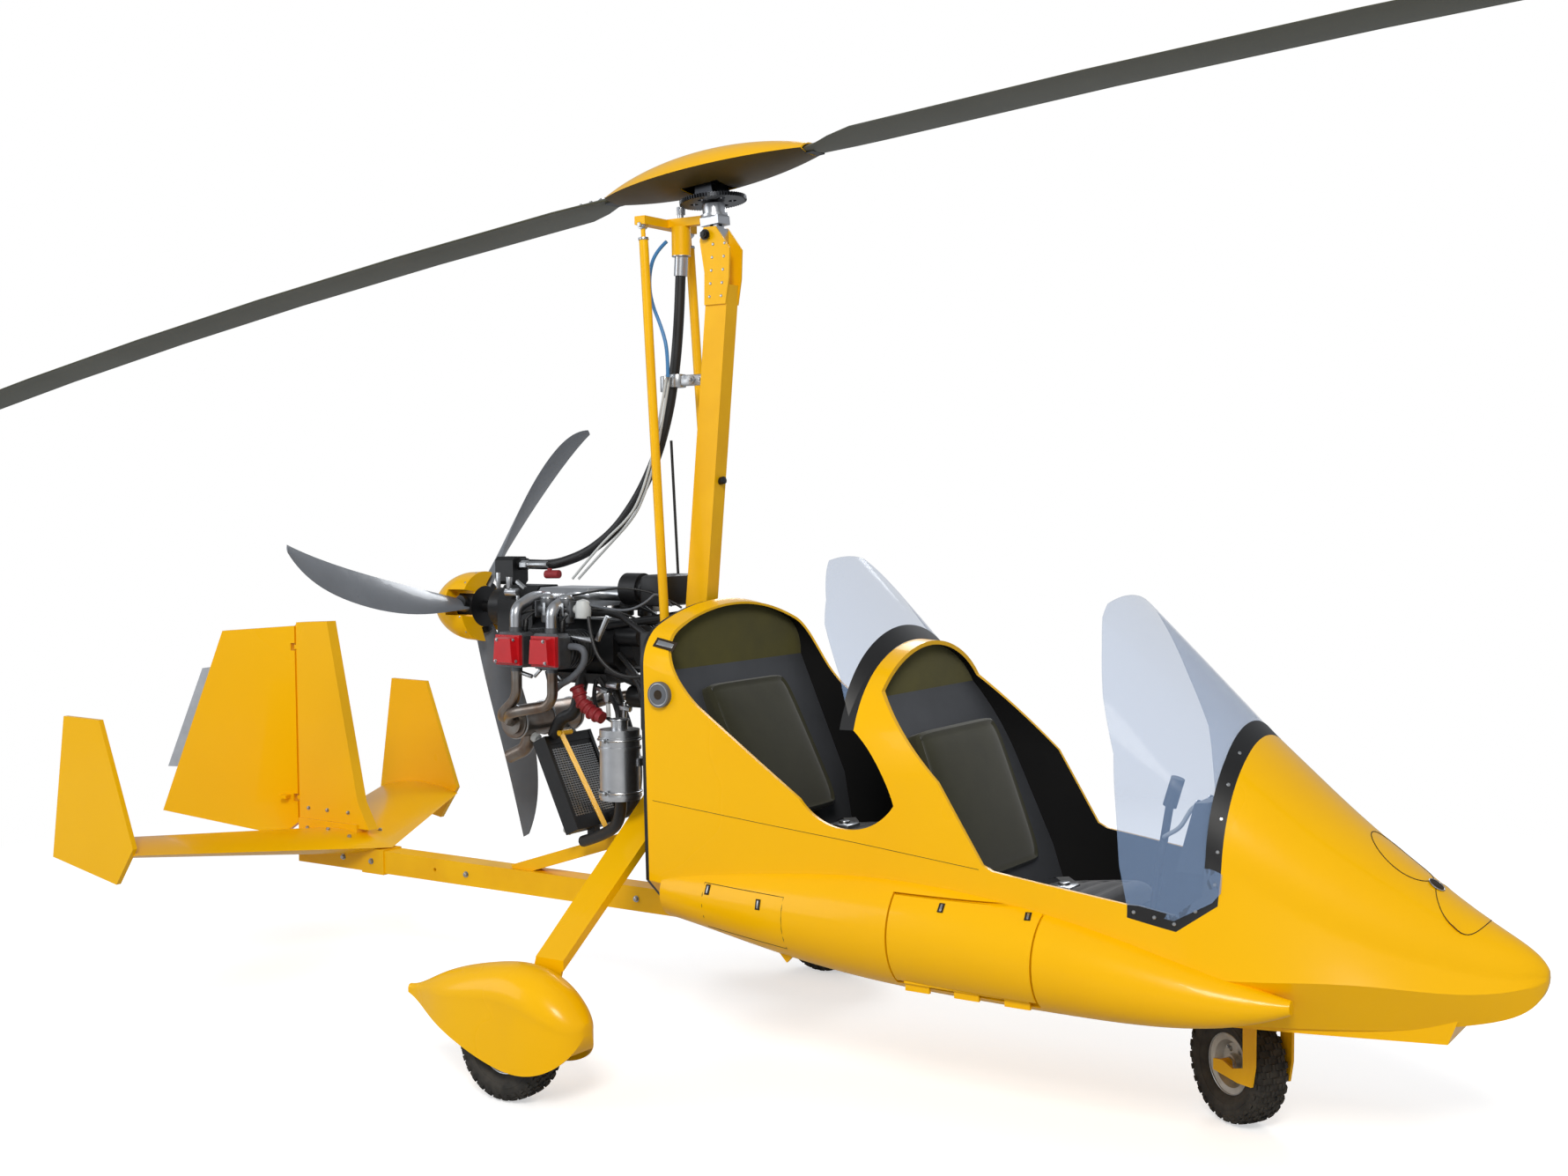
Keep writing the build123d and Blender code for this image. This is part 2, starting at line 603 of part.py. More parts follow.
def rotor_parts():
    """Everything above the mast that turns: head, hub bar, blades and fairing, in the rotor frame."""
    gear_low = RING_GEAR_TOP - RING_GEAR_THICKNESS
    tooth_depth = 7.0
    tooth_share = 0.5
    pitch = 360 / RING_GEAR_TEETH
    points = []
    for tooth in range(RING_GEAR_TEETH):
        for share, radius in ((0.0, RING_GEAR_R - tooth_depth), (0.2, RING_GEAR_R),
                              (0.2 + tooth_share / 2, RING_GEAR_R), (0.65, RING_GEAR_R - tooth_depth)):
            angle = radians((tooth + share) * pitch)
            points.append((radius * cos(angle), radius * sin(angle)))
    gear_plane = Plane((0, 0, gear_low))
    ring_gear = extrude(place(points, gear_plane), amount=RING_GEAR_THICKNESS)
    ring_gear -= extrude(gear_plane * Circle(RING_GEAR_R - 26), amount=RING_GEAR_THICKNESS)
    spoke_plate = extrude(gear_plane * Circle(RING_GEAR_R - 26), amount=6)
    for step in range(6):
        angle = radians(60 * step + 30)
        hole = rod((60 * cos(angle), 60 * sin(angle), gear_low - 1),
                   (60 * cos(angle), 60 * sin(angle), gear_low + 10), 13)
        spoke_plate -= hole
    tower_inside = HUB_BAR_WIDTH / 2 + TOWER_GAP
    base_top = RING_GEAR_TOP - RING_GEAR_THICKNESS + 6 + 10
    base = extrude(Plane((0, 0, base_top - 10)) * Circle(BEARING_R), amount=10)
    tower = plate_y([
        (-34, base_top), (34, base_top), (26, 6), (15, 20), (-15, 20), (-26, 6),
    ], tower_inside, tower_inside + TOWER_THICKNESS)
    foot = block((-34, 34), (-tower_inside - TOWER_THICKNESS, tower_inside + TOWER_THICKNESS),
                 (base_top, base_top + 8))
    bolt = rod((0, -tower_inside - 22, 0), (0, tower_inside + 22, 0), TEETER_BOLT_R)
    head_rotor = ring_gear + spoke_plate + base + foot + both_sides(tower) + bolt
    spindle = rod((0, 0, gear_low - 52), (0, 0, gear_low), SPINDLE_R)
    head_rotor = head_rotor + spindle

    half_thick = HUB_BAR_THICKNESS / 2
    hub_bar = block((-HUB_BAR_LENGTH / 2, HUB_BAR_LENGTH / 2), (-HUB_BAR_WIDTH / 2, HUB_BAR_WIDTH / 2),
                    (-half_thick, half_thick))
    hub_bar += rod((0, -HUB_BAR_WIDTH / 2, 0), (0, HUB_BAR_WIDTH / 2, 0), 20)
    hub_bar -= rod((0, -60, 0), (0, 60, 0), TEETER_BOLT_R + RUNNING)
    blade = rotor_blade()
    front_blade = blade - hub_bar
    rear_blade = Rot(0, 0, 180) * blade - hub_bar
    return head_rotor, hub_bar, main_solid(front_blade), main_solid(rear_blade)


def rotor_fairing():
    """The lens-shaped hollow cover of the hub, cut off at both ends and open below for the towers."""
    length, width = FAIRING_HALF_LENGTH, FAIRING_HALF_WIDTH

    def lens(inset):
        rows = [
            (-length, 0.42, 0.30), (-length * 0.62, 0.80, 0.74), (0, 1.0, 1.0),
            (length * 0.62, 0.80, 0.74), (length, 0.42, 0.30),
        ]
        faces = []
        for x, wide, tall in rows:
            half = width * wide - inset * 2
            top = FAIRING_TOP * tall - inset
            low = FAIRING_BOTTOM * tall + inset
            plane = Plane((x, 0, 0), x_dir=(0, 1, 0), z_dir=(1, 0, 0))
            faces.append(plane * make_face([
                ThreePointArc((-half, 0), (0, top), (half, 0)),
                ThreePointArc((half, 0), (0, low), (-half, 0)),
            ]))
        return loft(faces)

    cover = lens(0.0) - lens(FAIRING_WALL)
    tower_half = HUB_BAR_WIDTH / 2 + TOWER_GAP + TOWER_THICKNESS + 24
    cover -= block((-70, 70), (-tower_half, tower_half), (-80, 0))
    return main_solid(cover)


def propeller():
    """Three swept blades on a hub with a spinner that points aft."""
    stations = [
        # radius, chord, thickness, sweep of the middle, pitch
        (55, 60, 40, 0, 60),
        (150, 84, 28, -6, 48),
        (330, 118, 18, -16, 34),
        (540, 122, 13, -8, 25),
        (740, 92, 9, 26, 19),
        (PROP_RADIUS, 26, 4, 78, 16),
    ]
    faces = []
    for radius, chord, thickness, sweep, pitch in stations:
        plane = Plane((0, 0, radius), x_dir=(0, 1, 0), z_dir=(0, 0, 1))
        outline = make_face([
            ThreePointArc((sweep - chord / 2, 0), (sweep + chord * 0.1, thickness * 0.7), (sweep + chord / 2, 0)),
            ThreePointArc((sweep + chord / 2, 0), (sweep + chord * 0.1, -thickness * 0.3),
                          (sweep - chord / 2, 0)),
        ])
        centre = Pos(sweep, 0, 0) * Rot(0, 0, pitch) * Pos(-sweep, 0, 0)
        faces.append(plane * (centre * outline))
    blade = loft(faces)
    grip = rod((0, 0, 20), (0, 0, 92), 26)
    centre = Pos(PROP_X, 0, PROP_Z)
    hub = rod((-34, 0, 0), (34, 0, 0), PROP_HUB_R)
    blades = []
    for step in range(PROP_BLADES):
        angle = PROP_FIRST_ANGLE + 360 / PROP_BLADES * step
        turn = Rot(-angle, 0, 0)
        blades.append(turn * blade)
        hub += turn * grip
    front = 34.0
    length = SPINNER_REAR_X - PROP_X
    tip_r = 5.0
    recess = -34.0 - SEAT_GAP
    spinner = revolve(make_face([
        Line((front, PROP_HUB_R + SEAT_GAP), (front, SPINNER_R)),
        Line((front, SPINNER_R), (-30, SPINNER_R * 0.97)),
        ThreePointArc((-30, SPINNER_R * 0.97), (length * 0.66, SPINNER_R * 0.66), (length, tip_r)),
        Line((length, tip_r), (length, 0)),
        Line((length, 0), (recess, 0)),
        Line((recess, 0), (recess, PROP_HUB_R + SEAT_GAP)),
        Line((recess, PROP_HUB_R + SEAT_GAP), (front, PROP_HUB_R + SEAT_GAP)),
    ]), axis=Axis.X, revolution_arc=360)
    cut_blades = []
    for step, turned_blade in enumerate(blades):
        angle = PROP_FIRST_ANGLE + 360 / PROP_BLADES * step
        spinner -= Rot(-angle, 0, 0) * block((-48, 44), (-44, 44), (60, SPINNER_R + 30))
        cut_blades.append(main_solid(turned_blade - hub))
    return centre * hub, [centre * piece for piece in cut_blades], centre * main_solid(spinner)


def mast_x(z):
    """The x of the mast's centre line at a height."""
    return MAST_TOP[0] - (MAST_TOP[1] - z) * MAST_SLOPE


def mast_and_keel():
    """The leaning mast tube, its cheek plates, the keel and the brace between them."""
    half = KEEL_SIZE / 2
    keel_top = KEEL_Z + half
    keel = block((KEEL_REAR_X, KEEL_FRONT_X), (-half, half), (KEEL_Z - half, keel_top))
    depth = MAST_DEPTH / 2
    top = MAST_TOP[1]
    mast = plate_y([
        (mast_x(keel_top) - depth, keel_top), (mast_x(keel_top) + depth, keel_top),
        (mast_x(top) + depth, top), (mast_x(top) - depth, top),
    ], -MAST_WIDTH / 2, MAST_WIDTH / 2)
    low = top - 60
    cheek = plate_y([
        (mast_x(low) - depth, low), (mast_x(low) + depth, low),
        (mast_x(top) + depth + 8, top + 20), (mast_x(top) + depth + 12, 2460),
        (40, CHEEK_TOP_Z), (-4, CHEEK_TOP_Z), (-20, 2490), (mast_x(top) - depth - 4, top + 40),
    ], MAST_WIDTH / 2, MAST_WIDTH / 2 + CHEEK_THICKNESS)
    brace_low = (-850.0, 0, keel_top - 8)
    brace_high = (mast_x(640) - depth - 6, 0, 650.0)
    brace = bar(brace_low, brace_high, 44, 40)
    brace = brace - block((-1200, 0), (-100, 100), (300, keel_top - 12)) - mast
    bracket_z = (1190.0, 1225.0)
    firewall_face = BODY_REAR_X - FIREWALL_THICKNESS - SEAT_GAP
    mast += block((mast_x(bracket_z[0]) + depth - 4, firewall_face), (-24, 24), bracket_z)
    tie_hole = rod((TIE_DOWN_X, -half - 5, KEEL_Z), (TIE_DOWN_X, half + 5, KEEL_Z), TIE_DOWN_R)
    sleeve = block((-1560, -1450), (-half - 5, half + 5), (KEEL_Z - half - 5, keel_top + 5))
    return keel + sleeve + main_solid(brace) - tie_hole, mast, both_sides(cheek)


def rotor_head_fixed():
    """The tilting head below the rotor: pivot block between the cheeks, bearing, torque bar."""
    gear_low = RING_GEAR_TOP - RING_GEAR_THICKNESS
    bearing_top = gear_low - 6
    bearing_low = bearing_top - 40
    bearing = rod((0, 0, bearing_low), (0, 0, bearing_top), BEARING_R - 8)
    bearing += rod((0, 0, bearing_low), (0, 0, bearing_low + 8), BEARING_R)
    bearing -= rod((0, 0, bearing_low - 5), (0, 0, bearing_top + 5), SPINDLE_R + RUNNING)
    bearing = in_rotor_frame(bearing)
    pivot_z = PIVOT_Z
    inside = MAST_WIDTH / 2
    yoke_top = HUB_Z + bearing_low - 8
    yoke = block((-26, 44), (-inside + SEAT_GAP, inside - SEAT_GAP), (pivot_z - 20, pivot_z + 22))
    saddle = in_rotor_frame(block((-34, 34), (-32, 32), (bearing_low - 26, bearing_low)))
    link = block((-16, 34), (-20, 20), (pivot_z + 10, HUB_Z + bearing_low - 12))
    head = yoke + saddle + link
    head = head - in_rotor_frame(rod((0, 0, bearing_low - 30), (0, 0, bearing_low + 1), SPINDLE_R + 6))
    pin = rod((9, -inside - CHEEK_THICKNESS - 10, pivot_z), (9, inside + CHEEK_THICKNESS + 10, pivot_z), 7)
    return bearing, head, pin


def torque_bar():
    """The bar that the push rods tilt the head with, and its cross arm."""
    start = (-30, 0, TORQUE_BAR_Z)
    rear = (PUSH_ROD_TOP_X, 0, TORQUE_BAR_Z)
    beam = bar(start, rear, 30, TORQUE_BAR_DEPTH)
    cross = block((PUSH_ROD_TOP_X - 20, PUSH_ROD_TOP_X + 20), (-PUSH_ROD_Y - 16, PUSH_ROD_Y + 16),
                  (TORQUE_BAR_Z - 15, TORQUE_BAR_Z + 11))
    return beam + cross


def push_rods():
    """Two push rods from the torque bar down to the fuselage, with rod ends."""
    pieces = []
    for side in (-1, 1):
        top = (PUSH_ROD_TOP_X, side * PUSH_ROD_Y, TORQUE_BAR_Z - 16)
        low = (PUSH_ROD_LOW_X, side * PUSH_ROD_LOW_Y, 1160)
        tube_top = tuple(t + (b - t) * 0.028 for t, b in zip(top, low))
        tube_low = tuple(b + (t - b) * 0.028 for t, b in zip(top, low))
        piece = rod(tube_top, tube_low, PUSH_ROD_R)
        piece += rod(top, tube_top, 7) + rod(tube_low, low, 7)
        pieces.append(piece)
    return pieces


def engine_parts():
    """The flat four engine: crankcase, finned cylinders, red covers, gearbox and intake."""
    z = ENGINE_Z
    x_low, x_high = CRANKCASE_X
    half = CRANKCASE_HALF_WIDTH
    tall = CRANKCASE_HALF_HEIGHT
    case = plate_x([
        (-half, z - tall * 0.5), (-half * 0.5, z - tall), (half * 0.5, z - tall), (half, z - tall * 0.5),
        (half, z + tall * 0.5), (half * 0.5, z + tall), (-half * 0.5, z + tall), (-half, z + tall * 0.5),
    ], x_low, x_high)
    sump = plate_x([(-60, z - tall - 34), (60, z - tall - 34), (70, z - tall), (-70, z - tall)],
                   x_low + 40, x_high - 60)
    starter = rod((x_high - 4, -62, z + 40), (x_high + 86, -62, z + 40), 34)
    ignition = rod((x_high, 0, z), (x_high + 52, 0, z), IGNITION_R)
    case = case + sump + starter + ignition

    cylinders = None
    covers = None
    for x in CYLINDER_X:
        barrel = rod((x, half, z), (x, CYLINDER_END_Y, z), CYLINDER_R - 12)
        count = int((CYLINDER_END_Y - half) / FIN_PITCH)
        for step in range(1, count + 1):
            y = half + step * FIN_PITCH - FIN_THICKNESS
            barrel += rod((x, y, z), (x, y + FIN_THICKNESS, z), CYLINDER_R + 4)
        head = block((x - HEAD_HALF, x + HEAD_HALF), (CYLINDER_END_Y, HEAD_END_Y), (z - HEAD_HALF, z + HEAD_HALF))
        head = chamfer(head.edges().filter_by(Axis.Y), 12)
        inlet = rod((x, HEAD_END_Y - 28, z + HEAD_HALF), (x, HEAD_END_Y - 28, z + HEAD_HALF + 16), 21)
        outlet = rod((x, HEAD_END_Y - 28, z - HEAD_HALF - 14), (x, HEAD_END_Y - 28, z - HEAD_HALF), 19)
        barrel += head + inlet + outlet
        cylinders = barrel if cylinders is None else cylinders + barrel
        seat = Plane((x, HEAD_END_Y, z), x_dir=(1, 0, 0), z_dir=(0, 1, 0))
        base_face = seat * (Pos(0, 0) * Rectangle(100, 96))
        outline = [(-46, 44), (46, 44), (38, -44), (-38, -44)]
        outer_plane = Plane((x, HEAD_END_Y + 14, z), x_dir=(1, 0, 0), z_dir=(0, 1, 0))
        flange = extrude(base_face, amount=14)
        bowl = extrude(place(outline, outer_plane), amount=COVER_DEPTH - 14, taper=14)
        cover = flange + bowl
        covers = cover if covers is None else covers + cover
    return case, both_sides(cylinders), both_sides(covers)


def gearbox():
    """The reduction gearbox on the aft end with its drive for the rotor spin-up, and the propeller shaft."""
    x_high = CRANKCASE_X[0]
    x_low = GEARBOX_REAR_X
    z = ENGINE_Z
    case = plate_x([
        (-84, z - 40), (-50, z - 80), (50, z - 80), (84, z - 40), (82, PROP_Z + 30), (46, PROP_Z + 78),
        (-46, PROP_Z + 78), (-82, PROP_Z + 30),
    ], x_low + 60, x_high)
    nose = rod((x_low, 0, PROP_Z), (x_low + 60, 0, PROP_Z), 66)
    boss = rod((x_low - 14, 0, PROP_Z), (x_low, 0, PROP_Z), 40)
    case = case + nose + boss
    shaft_end = PROP_X + 12
    bore_end = x_low + 90
    case -= rod((x_low - 20, 0, PROP_Z), (bore_end, 0, PROP_Z), PROP_SHAFT_R + RUNNING)
    shaft = rod((bore_end - 4, 0, PROP_Z), (shaft_end, 0, PROP_Z), PROP_SHAFT_R)
    drive = block((x_low + 12, x_low + 92), (-38, 38), (PROP_Z + 78, PROP_Z + 172))
    drive = chamfer(drive.edges().filter_by(Axis.X), 12)
    drive += rod((x_low + 92, 0, FLEX_Z), (x_low + 122, 0, FLEX_Z), 20)
    return case + drive, shaft


def intake():
    """The airbox on top with two curved runners to each side, and its filter."""
    z = ENGINE_Z
    box_low = z + 128
    airbox = block((-655, -452), (-96, 96), (box_low, box_low + 62))
    airbox = chamfer(airbox.edges().filter_by(Axis.X), 18)
    runners = []
    top = z + HEAD_HALF + 16
    for x in CYLINDER_X:
        end = (x, HEAD_END_Y - 28, top + 0.3)
        path = [(x, 90, box_low + 30), (x, 168, box_low + 38), (x, HEAD_END_Y - 28, box_low + 2), end]
        runners.append(pipe(path, 19, 0.40))
    runner_pair = runners[0] + runners[1]
    dome = rod((-352, 0, FILTER_Z), (-284, 0, FILTER_Z), 52) + rod((-284, 0, FILTER_Z), (-268, 0, FILTER_Z), 42)
    neck = rod((-460, 0, FILTER_Z - 20), (-350, 0, FILTER_Z - 20), 20)
    return airbox + both_sides(runner_pair) + neck + dome


def exhaust():
    """Four pipes gathered into a silencer that lies across the aircraft below the engine."""
    z = ENGINE_Z
    start_z = z - HEAD_HALF - 14.3
    half = SILENCER_HALF_LENGTH
    shape = rod((SILENCER_X, -half, SILENCER_Z), (SILENCER_X, half, SILENCER_Z), SILENCER_R)
    shape += rod((SILENCER_X, -half - 12, SILENCER_Z), (SILENCER_X, half + 12, SILENCER_Z), SILENCER_R - 14)
    tail = [(SILENCER_X, -70, SILENCER_Z - 20), (SILENCER_X - 10, -70, SILENCER_Z - 95),
            (SILENCER_X - 90, -70, SILENCER_Z - 130)]
    shape += pipe(tail, 24, 0.40)
    y = HEAD_END_Y - 28
    near, far = CYLINDER_X
    for side in (-1, 1):
        shape += pipe([(near, side * y, start_z), (near, side * y, start_z - 84),
                       (SILENCER_X + 20, side * (y - 20), SILENCER_Z + 30), (SILENCER_X, side * half, SILENCER_Z)],
                      17, 0.40)
        shape += pipe([(far, side * y, start_z), (far, side * y, start_z - 104),
                       (near - 30, side * (y + 8), SILENCER_Z + 46), (SILENCER_X, side * (half + 30), SILENCER_Z + 8),
                       (SILENCER_X - 4, side * (half - 20), SILENCER_Z)], 17, 0.40)
    return shape


def coolers():
    """The tilted radiator with its side tanks and stay, and the ribbed oil tank on its arm."""
    top, low = RADIATOR_TOP, RADIATOR_LOW
    axis = Vector(low[0] - top[0], 0, low[1] - top[1])
    angle = degrees(asin(axis.X / axis.length))
    core = Box(44, 2 * RADIATOR_HALF_WIDTH, axis.length - 60)
    tank = Box(52, 2 * RADIATOR_HALF_WIDTH, 30)
    side_bar = Box(56, 14, axis.length)
    radiator = core + Pos(0, 0, axis.length / 2 - 15) * tank + Pos(0, 0, 15 - axis.length / 2) * tank
    for side in (-1, 1):
        radiator += Pos(0, side * (RADIATOR_HALF_WIDTH + 7), 0) * side_bar
    middle = Vector((top[0] + low[0]) / 2, 0, (top[1] + low[1]) / 2)
    radiator = Pos(middle.X, middle.Y, middle.Z) * Rot(0, -angle, 0) * radiator
    stay_x = low[0] - 8
    keel_top = KEEL_Z + KEEL_SIZE / 2
    radiator += block((stay_x - STAY_WIDTH / 2, stay_x + STAY_WIDTH / 2), (-STAY_WIDTH / 2, STAY_WIDTH / 2),
                      (keel_top, low[1] + 10))

    x, y = OIL_TANK_XY
    z_low, z_high = OIL_TANK_Z
    tank_body = rod((x, y, z_low), (x, y, z_high), OIL_TANK_R)
    for z in (z_low + 8, z_high - 30, z_high - 60):
        tank_body += rod((x, y, z), (x, y, z + 8), OIL_TANK_R + 4)
    tank_body += rod((x, y, z_high), (x, y, z_high + 26), 26)
    arm_z = 890.0
    arm_x = mast_x(arm_z)
    tank_body += block((arm_x - STAY_WIDTH / 2, arm_x + STAY_WIDTH / 2), (y + 10, -MAST_WIDTH / 2),
                       (arm_z - 12, arm_z + 12))
    return radiator, tank_body


def coolant_hoses():
    """The thick hose from the engine to the radiator's top, and its return beside it."""
    top_x, top_z = RADIATOR_TOP
    low_x, low_z = RADIATOR_LOW
    supply = pipe([(top_x + 25, -70, top_z + 10), (top_x + 60, -74, top_z + 70), (top_x + 120, -72, top_z + 90),
                   (top_x + 150, -50, ENGINE_Z - CRANKCASE_HALF_HEIGHT + 24)], 21, 0.42)
    back = pipe([(low_x + 20, 66, low_z + 30), (low_x + 110, 64, low_z + 60), (low_x + 140, 50, low_z + 220),
                 (low_x + 30, 30, ENGINE_Z - CRANKCASE_HALF_HEIGHT + 24)], 21, 0.42)
    return [supply, back]


def flex_drive():
    """The flexible shaft from the gearbox drive up to the pinion housing at the rotor head."""
    end_x = GEARBOX_REAR_X + 122
    route = [
        (end_x + 0.3, 0, FLEX_Z), (-660, 0, FLEX_Z - 2), (-520, 0, 1516), (-400, 0, 1590), (-300, 0, 1700),
        (-225, 0, 1825), (-172, 0, 1975), (-144, 0, 2130), (-130, 0, 2260), (-122, 0, 2392),
    ]
    return pipe(route, FLEX_R)


def pinion_housing():
    """The spin-up drive's stepped housing under the torque bar, and the toothed pinion above it,
    which stands clear behind the ring gear until it is engaged."""
    x = PINION_X
    body_low = 2392.3
    bar_low = TORQUE_BAR_Z - TORQUE_BAR_DEPTH / 2
    sleeve = rod((x - 4, 0, body_low), (x, 0, body_low + 60), 21)
    body = rod((x, 0, body_low + 60), (x, 0, bar_low), 30)
    points = []
    for tooth in range(PINION_TEETH):
        for share, radius in ((0.0, PINION_R - 4), (0.2, PINION_R), (0.45, PINION_R), (0.65, PINION_R - 4)):
            angle = radians((tooth + share) * 360 / PINION_TEETH)
            points.append((x + radius * cos(angle), radius * sin(angle)))
    gear_base = TORQUE_BAR_Z + TORQUE_BAR_DEPTH / 2
    boss = rod((x, 0, gear_base), (x, 0, gear_base + 12), PINION_R - 4)
    teeth = plate_z(points, gear_base + 12, gear_base + 36)
    return sleeve + body, boss + teeth


def engine_mount():
    """Four tubes from the mast back to the crankcase front."""
    pieces = []
    front_x = CRANKCASE_X[1]
    for side in (-1, 1):
        for z_engine, z_mast in ((ENGINE_Z + 70, 1330), (ENGINE_Z - 70, 1040)):
            start = (mast_x(z_mast) - MAST_DEPTH / 2 + 8, side * 18, z_mast)
            end = (front_x - 40, side * 92, z_engine)
            pieces.append(rod(start, end, 13))
    return pieces


def cockpit_parts(body):
    """Firewall, seat bulkheads, seats, panel and controls."""
    inside = body_solid(BODY_WALL + SEAT_GAP, NOSE_SOLID_X)
    rear_face = body_face(BODY_SECTIONS[0], 2.0)
    firewall = extrude(rear_face, amount=-FIREWALL_THICKNESS)

    front_bulkhead = plate_y(
        [(FRONT_ARCH_X - 40, 1300), (FRONT_ARCH_X - 22, 1300), (FRONT_ARCH_X - 22, 1130),
         (985, 640), (1075, 380), (1057, 380), (967, 640), (FRONT_ARCH_X - 40, 1130)], -600, 600) & inside
    rear_bulkhead = plate_y(
        [(42, 1400), (60, 1400), (60, 1180), (235, 800), (300, 470), (282, 470), (217, 800), (42, 1180)],
        -600, 600) & inside
    return firewall, main_solid(front_bulkhead), main_solid(rear_bulkhead), inside


def tail_parts():
    """Stabiliser with its tip fins, fin with the hinge lugs, rudder on its hinge tube and trim tab."""
    def wing_face(y, lead_x, tail_x, z, thick):
        plane = Plane((0, y, 0), x_dir=(1, 0, 0), z_dir=(0, -1, 0))
        middle = lead_x - 0.35 * (lead_x - tail_x)
        return plane * make_face([
            ThreePointArc((tail_x, z + 3), (middle, z + thick * 0.55), (lead_x, z)),
            ThreePointArc((lead_x, z), (middle, z - thick * 0.45), (tail_x, z - 3)),
            Line((tail_x, z - 3), (tail_x, z + 3)),
        ])
    half = STAB_HALF_SPAN
    left = loft([wing_face(0, -1450, -1930, 448, 84), wing_face(half, -1868, -2290, 505, 52)], ruled=True)
    stabiliser = left + mirrored(left)
    keel = block((KEEL_REAR_X, KEEL_FRONT_X), (-KEEL_SIZE / 2, KEEL_SIZE / 2),
                 (KEEL_Z - KEEL_SIZE / 2, KEEL_Z + KEEL_SIZE / 2))
    stabiliser = stabiliser - keel
    tip = plate_y([(-2231, 960), (-2035, 957), (-1868, 528), (-1962, 398), (-2314, 459)],
                  half - 4, half + TIP_FIN_THICKNESS - 4)
    stabiliser = stabiliser + tip + mirrored(tip)
    fin_half = FIN_THICKNESS_Y / 2
    fin = plate_y([
        (RUDDER_HINGE_X + 16, 1250), (-1744, 1258), (-1600, 600), (-1545, 505), (RUDDER_HINGE_X + 16, 505),
    ], -fin_half, fin_half)
    fin_foot = block((RUDDER_HINGE_X + 16, -1600), (-30, 30), (KEEL_Z + KEEL_SIZE / 2, 520))
    fin = fin + (fin_foot - stabiliser)
    hinge = RUDDER_HINGE_X
    rudder = plate_y([
        (hinge - 4, 1236), (hinge - 315, 1214), (hinge - 600, 520), (hinge - 75, 448), (hinge - 4, 500),
    ], -fin_half + 4, fin_half - 4)
    wedge_cut = plate_z([
        (hinge - 14, fin_half), (hinge - 700, 5), (hinge - 700, 60), (hinge - 14, 60)], 400, 1300)
    rudder = rudder - wedge_cut - mirrored(wedge_cut)
    rudder += block((hinge - 62, hinge - 34), (-52, 52), (592, 604))
    for z in HINGE_LUG_Z:
        top = z + HINGE_LUG_HEIGHT
        fin += rod((hinge, 0, z), (hinge, 0, top), HINGE_LUG_R)
        fin += block((hinge, hinge + 20), (-HINGE_LUG_R + 3, HINGE_LUG_R - 3), (z, top))
        fin -= rod((hinge, 0, z - 1), (hinge, 0, top + 1), HINGE_TUBE_R + RUNNING)
        rudder -= block((hinge - HINGE_LUG_R - MOVING_GAP, hinge + 10), (-40, 40),
                        (z - MOVING_GAP, top + MOVING_GAP))
    rudder += rod((hinge, 0, 500), (hinge, 0, 1240), HINGE_TUBE_R)
    tab = plate_y([(hinge - 371, 1076), (hinge - 415, 1070), (hinge - 577, 690), (hinge - 529, 690)], -1.5, 1.5)
    return stabiliser, fin, rudder, tab - rudder


def screens():
    """The front and rear windshields, leaning aft over each seat."""
    front = screen_sheet([
        (FRONT_SCREEN_X - 2, 345, 600, 300, 759, 150, 1016, 1056),
        (1560, 358, 600, 340, 900, 170, 1208, 1250),
        (1330, 366, 600, 360, 1050, 190, 1420, 1466),
    ], [
        (FRONT_SCREEN_X - 8, 700), (FRONT_SCREEN_X - 2, 1020), (FRONT_SCREEN_X - 2, 1100), (1395, 1460),
        (1378, 1400), (1410, 1290), (1440, 1170), (1484, 1030), (1506, 750), (1530, 640),
        (1545, 640), (1650, 625), (1740, 676),
    ])
    rear = screen_sheet([
        (REAR_SCREEN_X - 1, 380, 900, 376, 960, 200, 1226, 1277),
        (600, 378, 1000, 374, 1090, 195, 1350, 1400),
        (440, 372, 1100, 366, 1250, 190, 1510, 1562),
    ], [
        (REAR_SCREEN_X - 6, 1050), (REAR_SCREEN_X - 1, 1120), (REAR_SCREEN_X - 1, 1300), (500, 1560),
        (484, 1505), (545, 1395), (572, 1330), (656, 1185), (712, 1060),
    ])
    return front, rear


def controls(seats):
    """Control sticks on brackets from the seat fronts, each with its grip, and the wheel brake lever."""
    lever = pipe([(1482, 0, 760), (1500, -36, 774), (1545, -40, 800), (1580, -42, 860), (1622, -44, 882)],
                 6, 0.42)
    sticks = []
    for seat, (base_x, base_z, top_x, top_z) in zip(seats, ((1440, 500, 1500, 850), (700, 560, 640, 820))):
        tube = rod((base_x, 0, base_z), (top_x, 0, top_z), 11)
        bracket = block((base_x - 80, base_x + 14), (-15, 15), (base_z + 2, base_z + 24)) - seat
        grip_end = (top_x + 24, 0, top_z + 78) if base_x > 1000 else (top_x - 10, 0, top_z + 78)
        grip = rod((top_x, 0, top_z), grip_end, 19)
        sticks.append(tube + main_solid(bracket) + grip)
    return Compound([main_solid(sticks[0] + lever), sticks[1]])


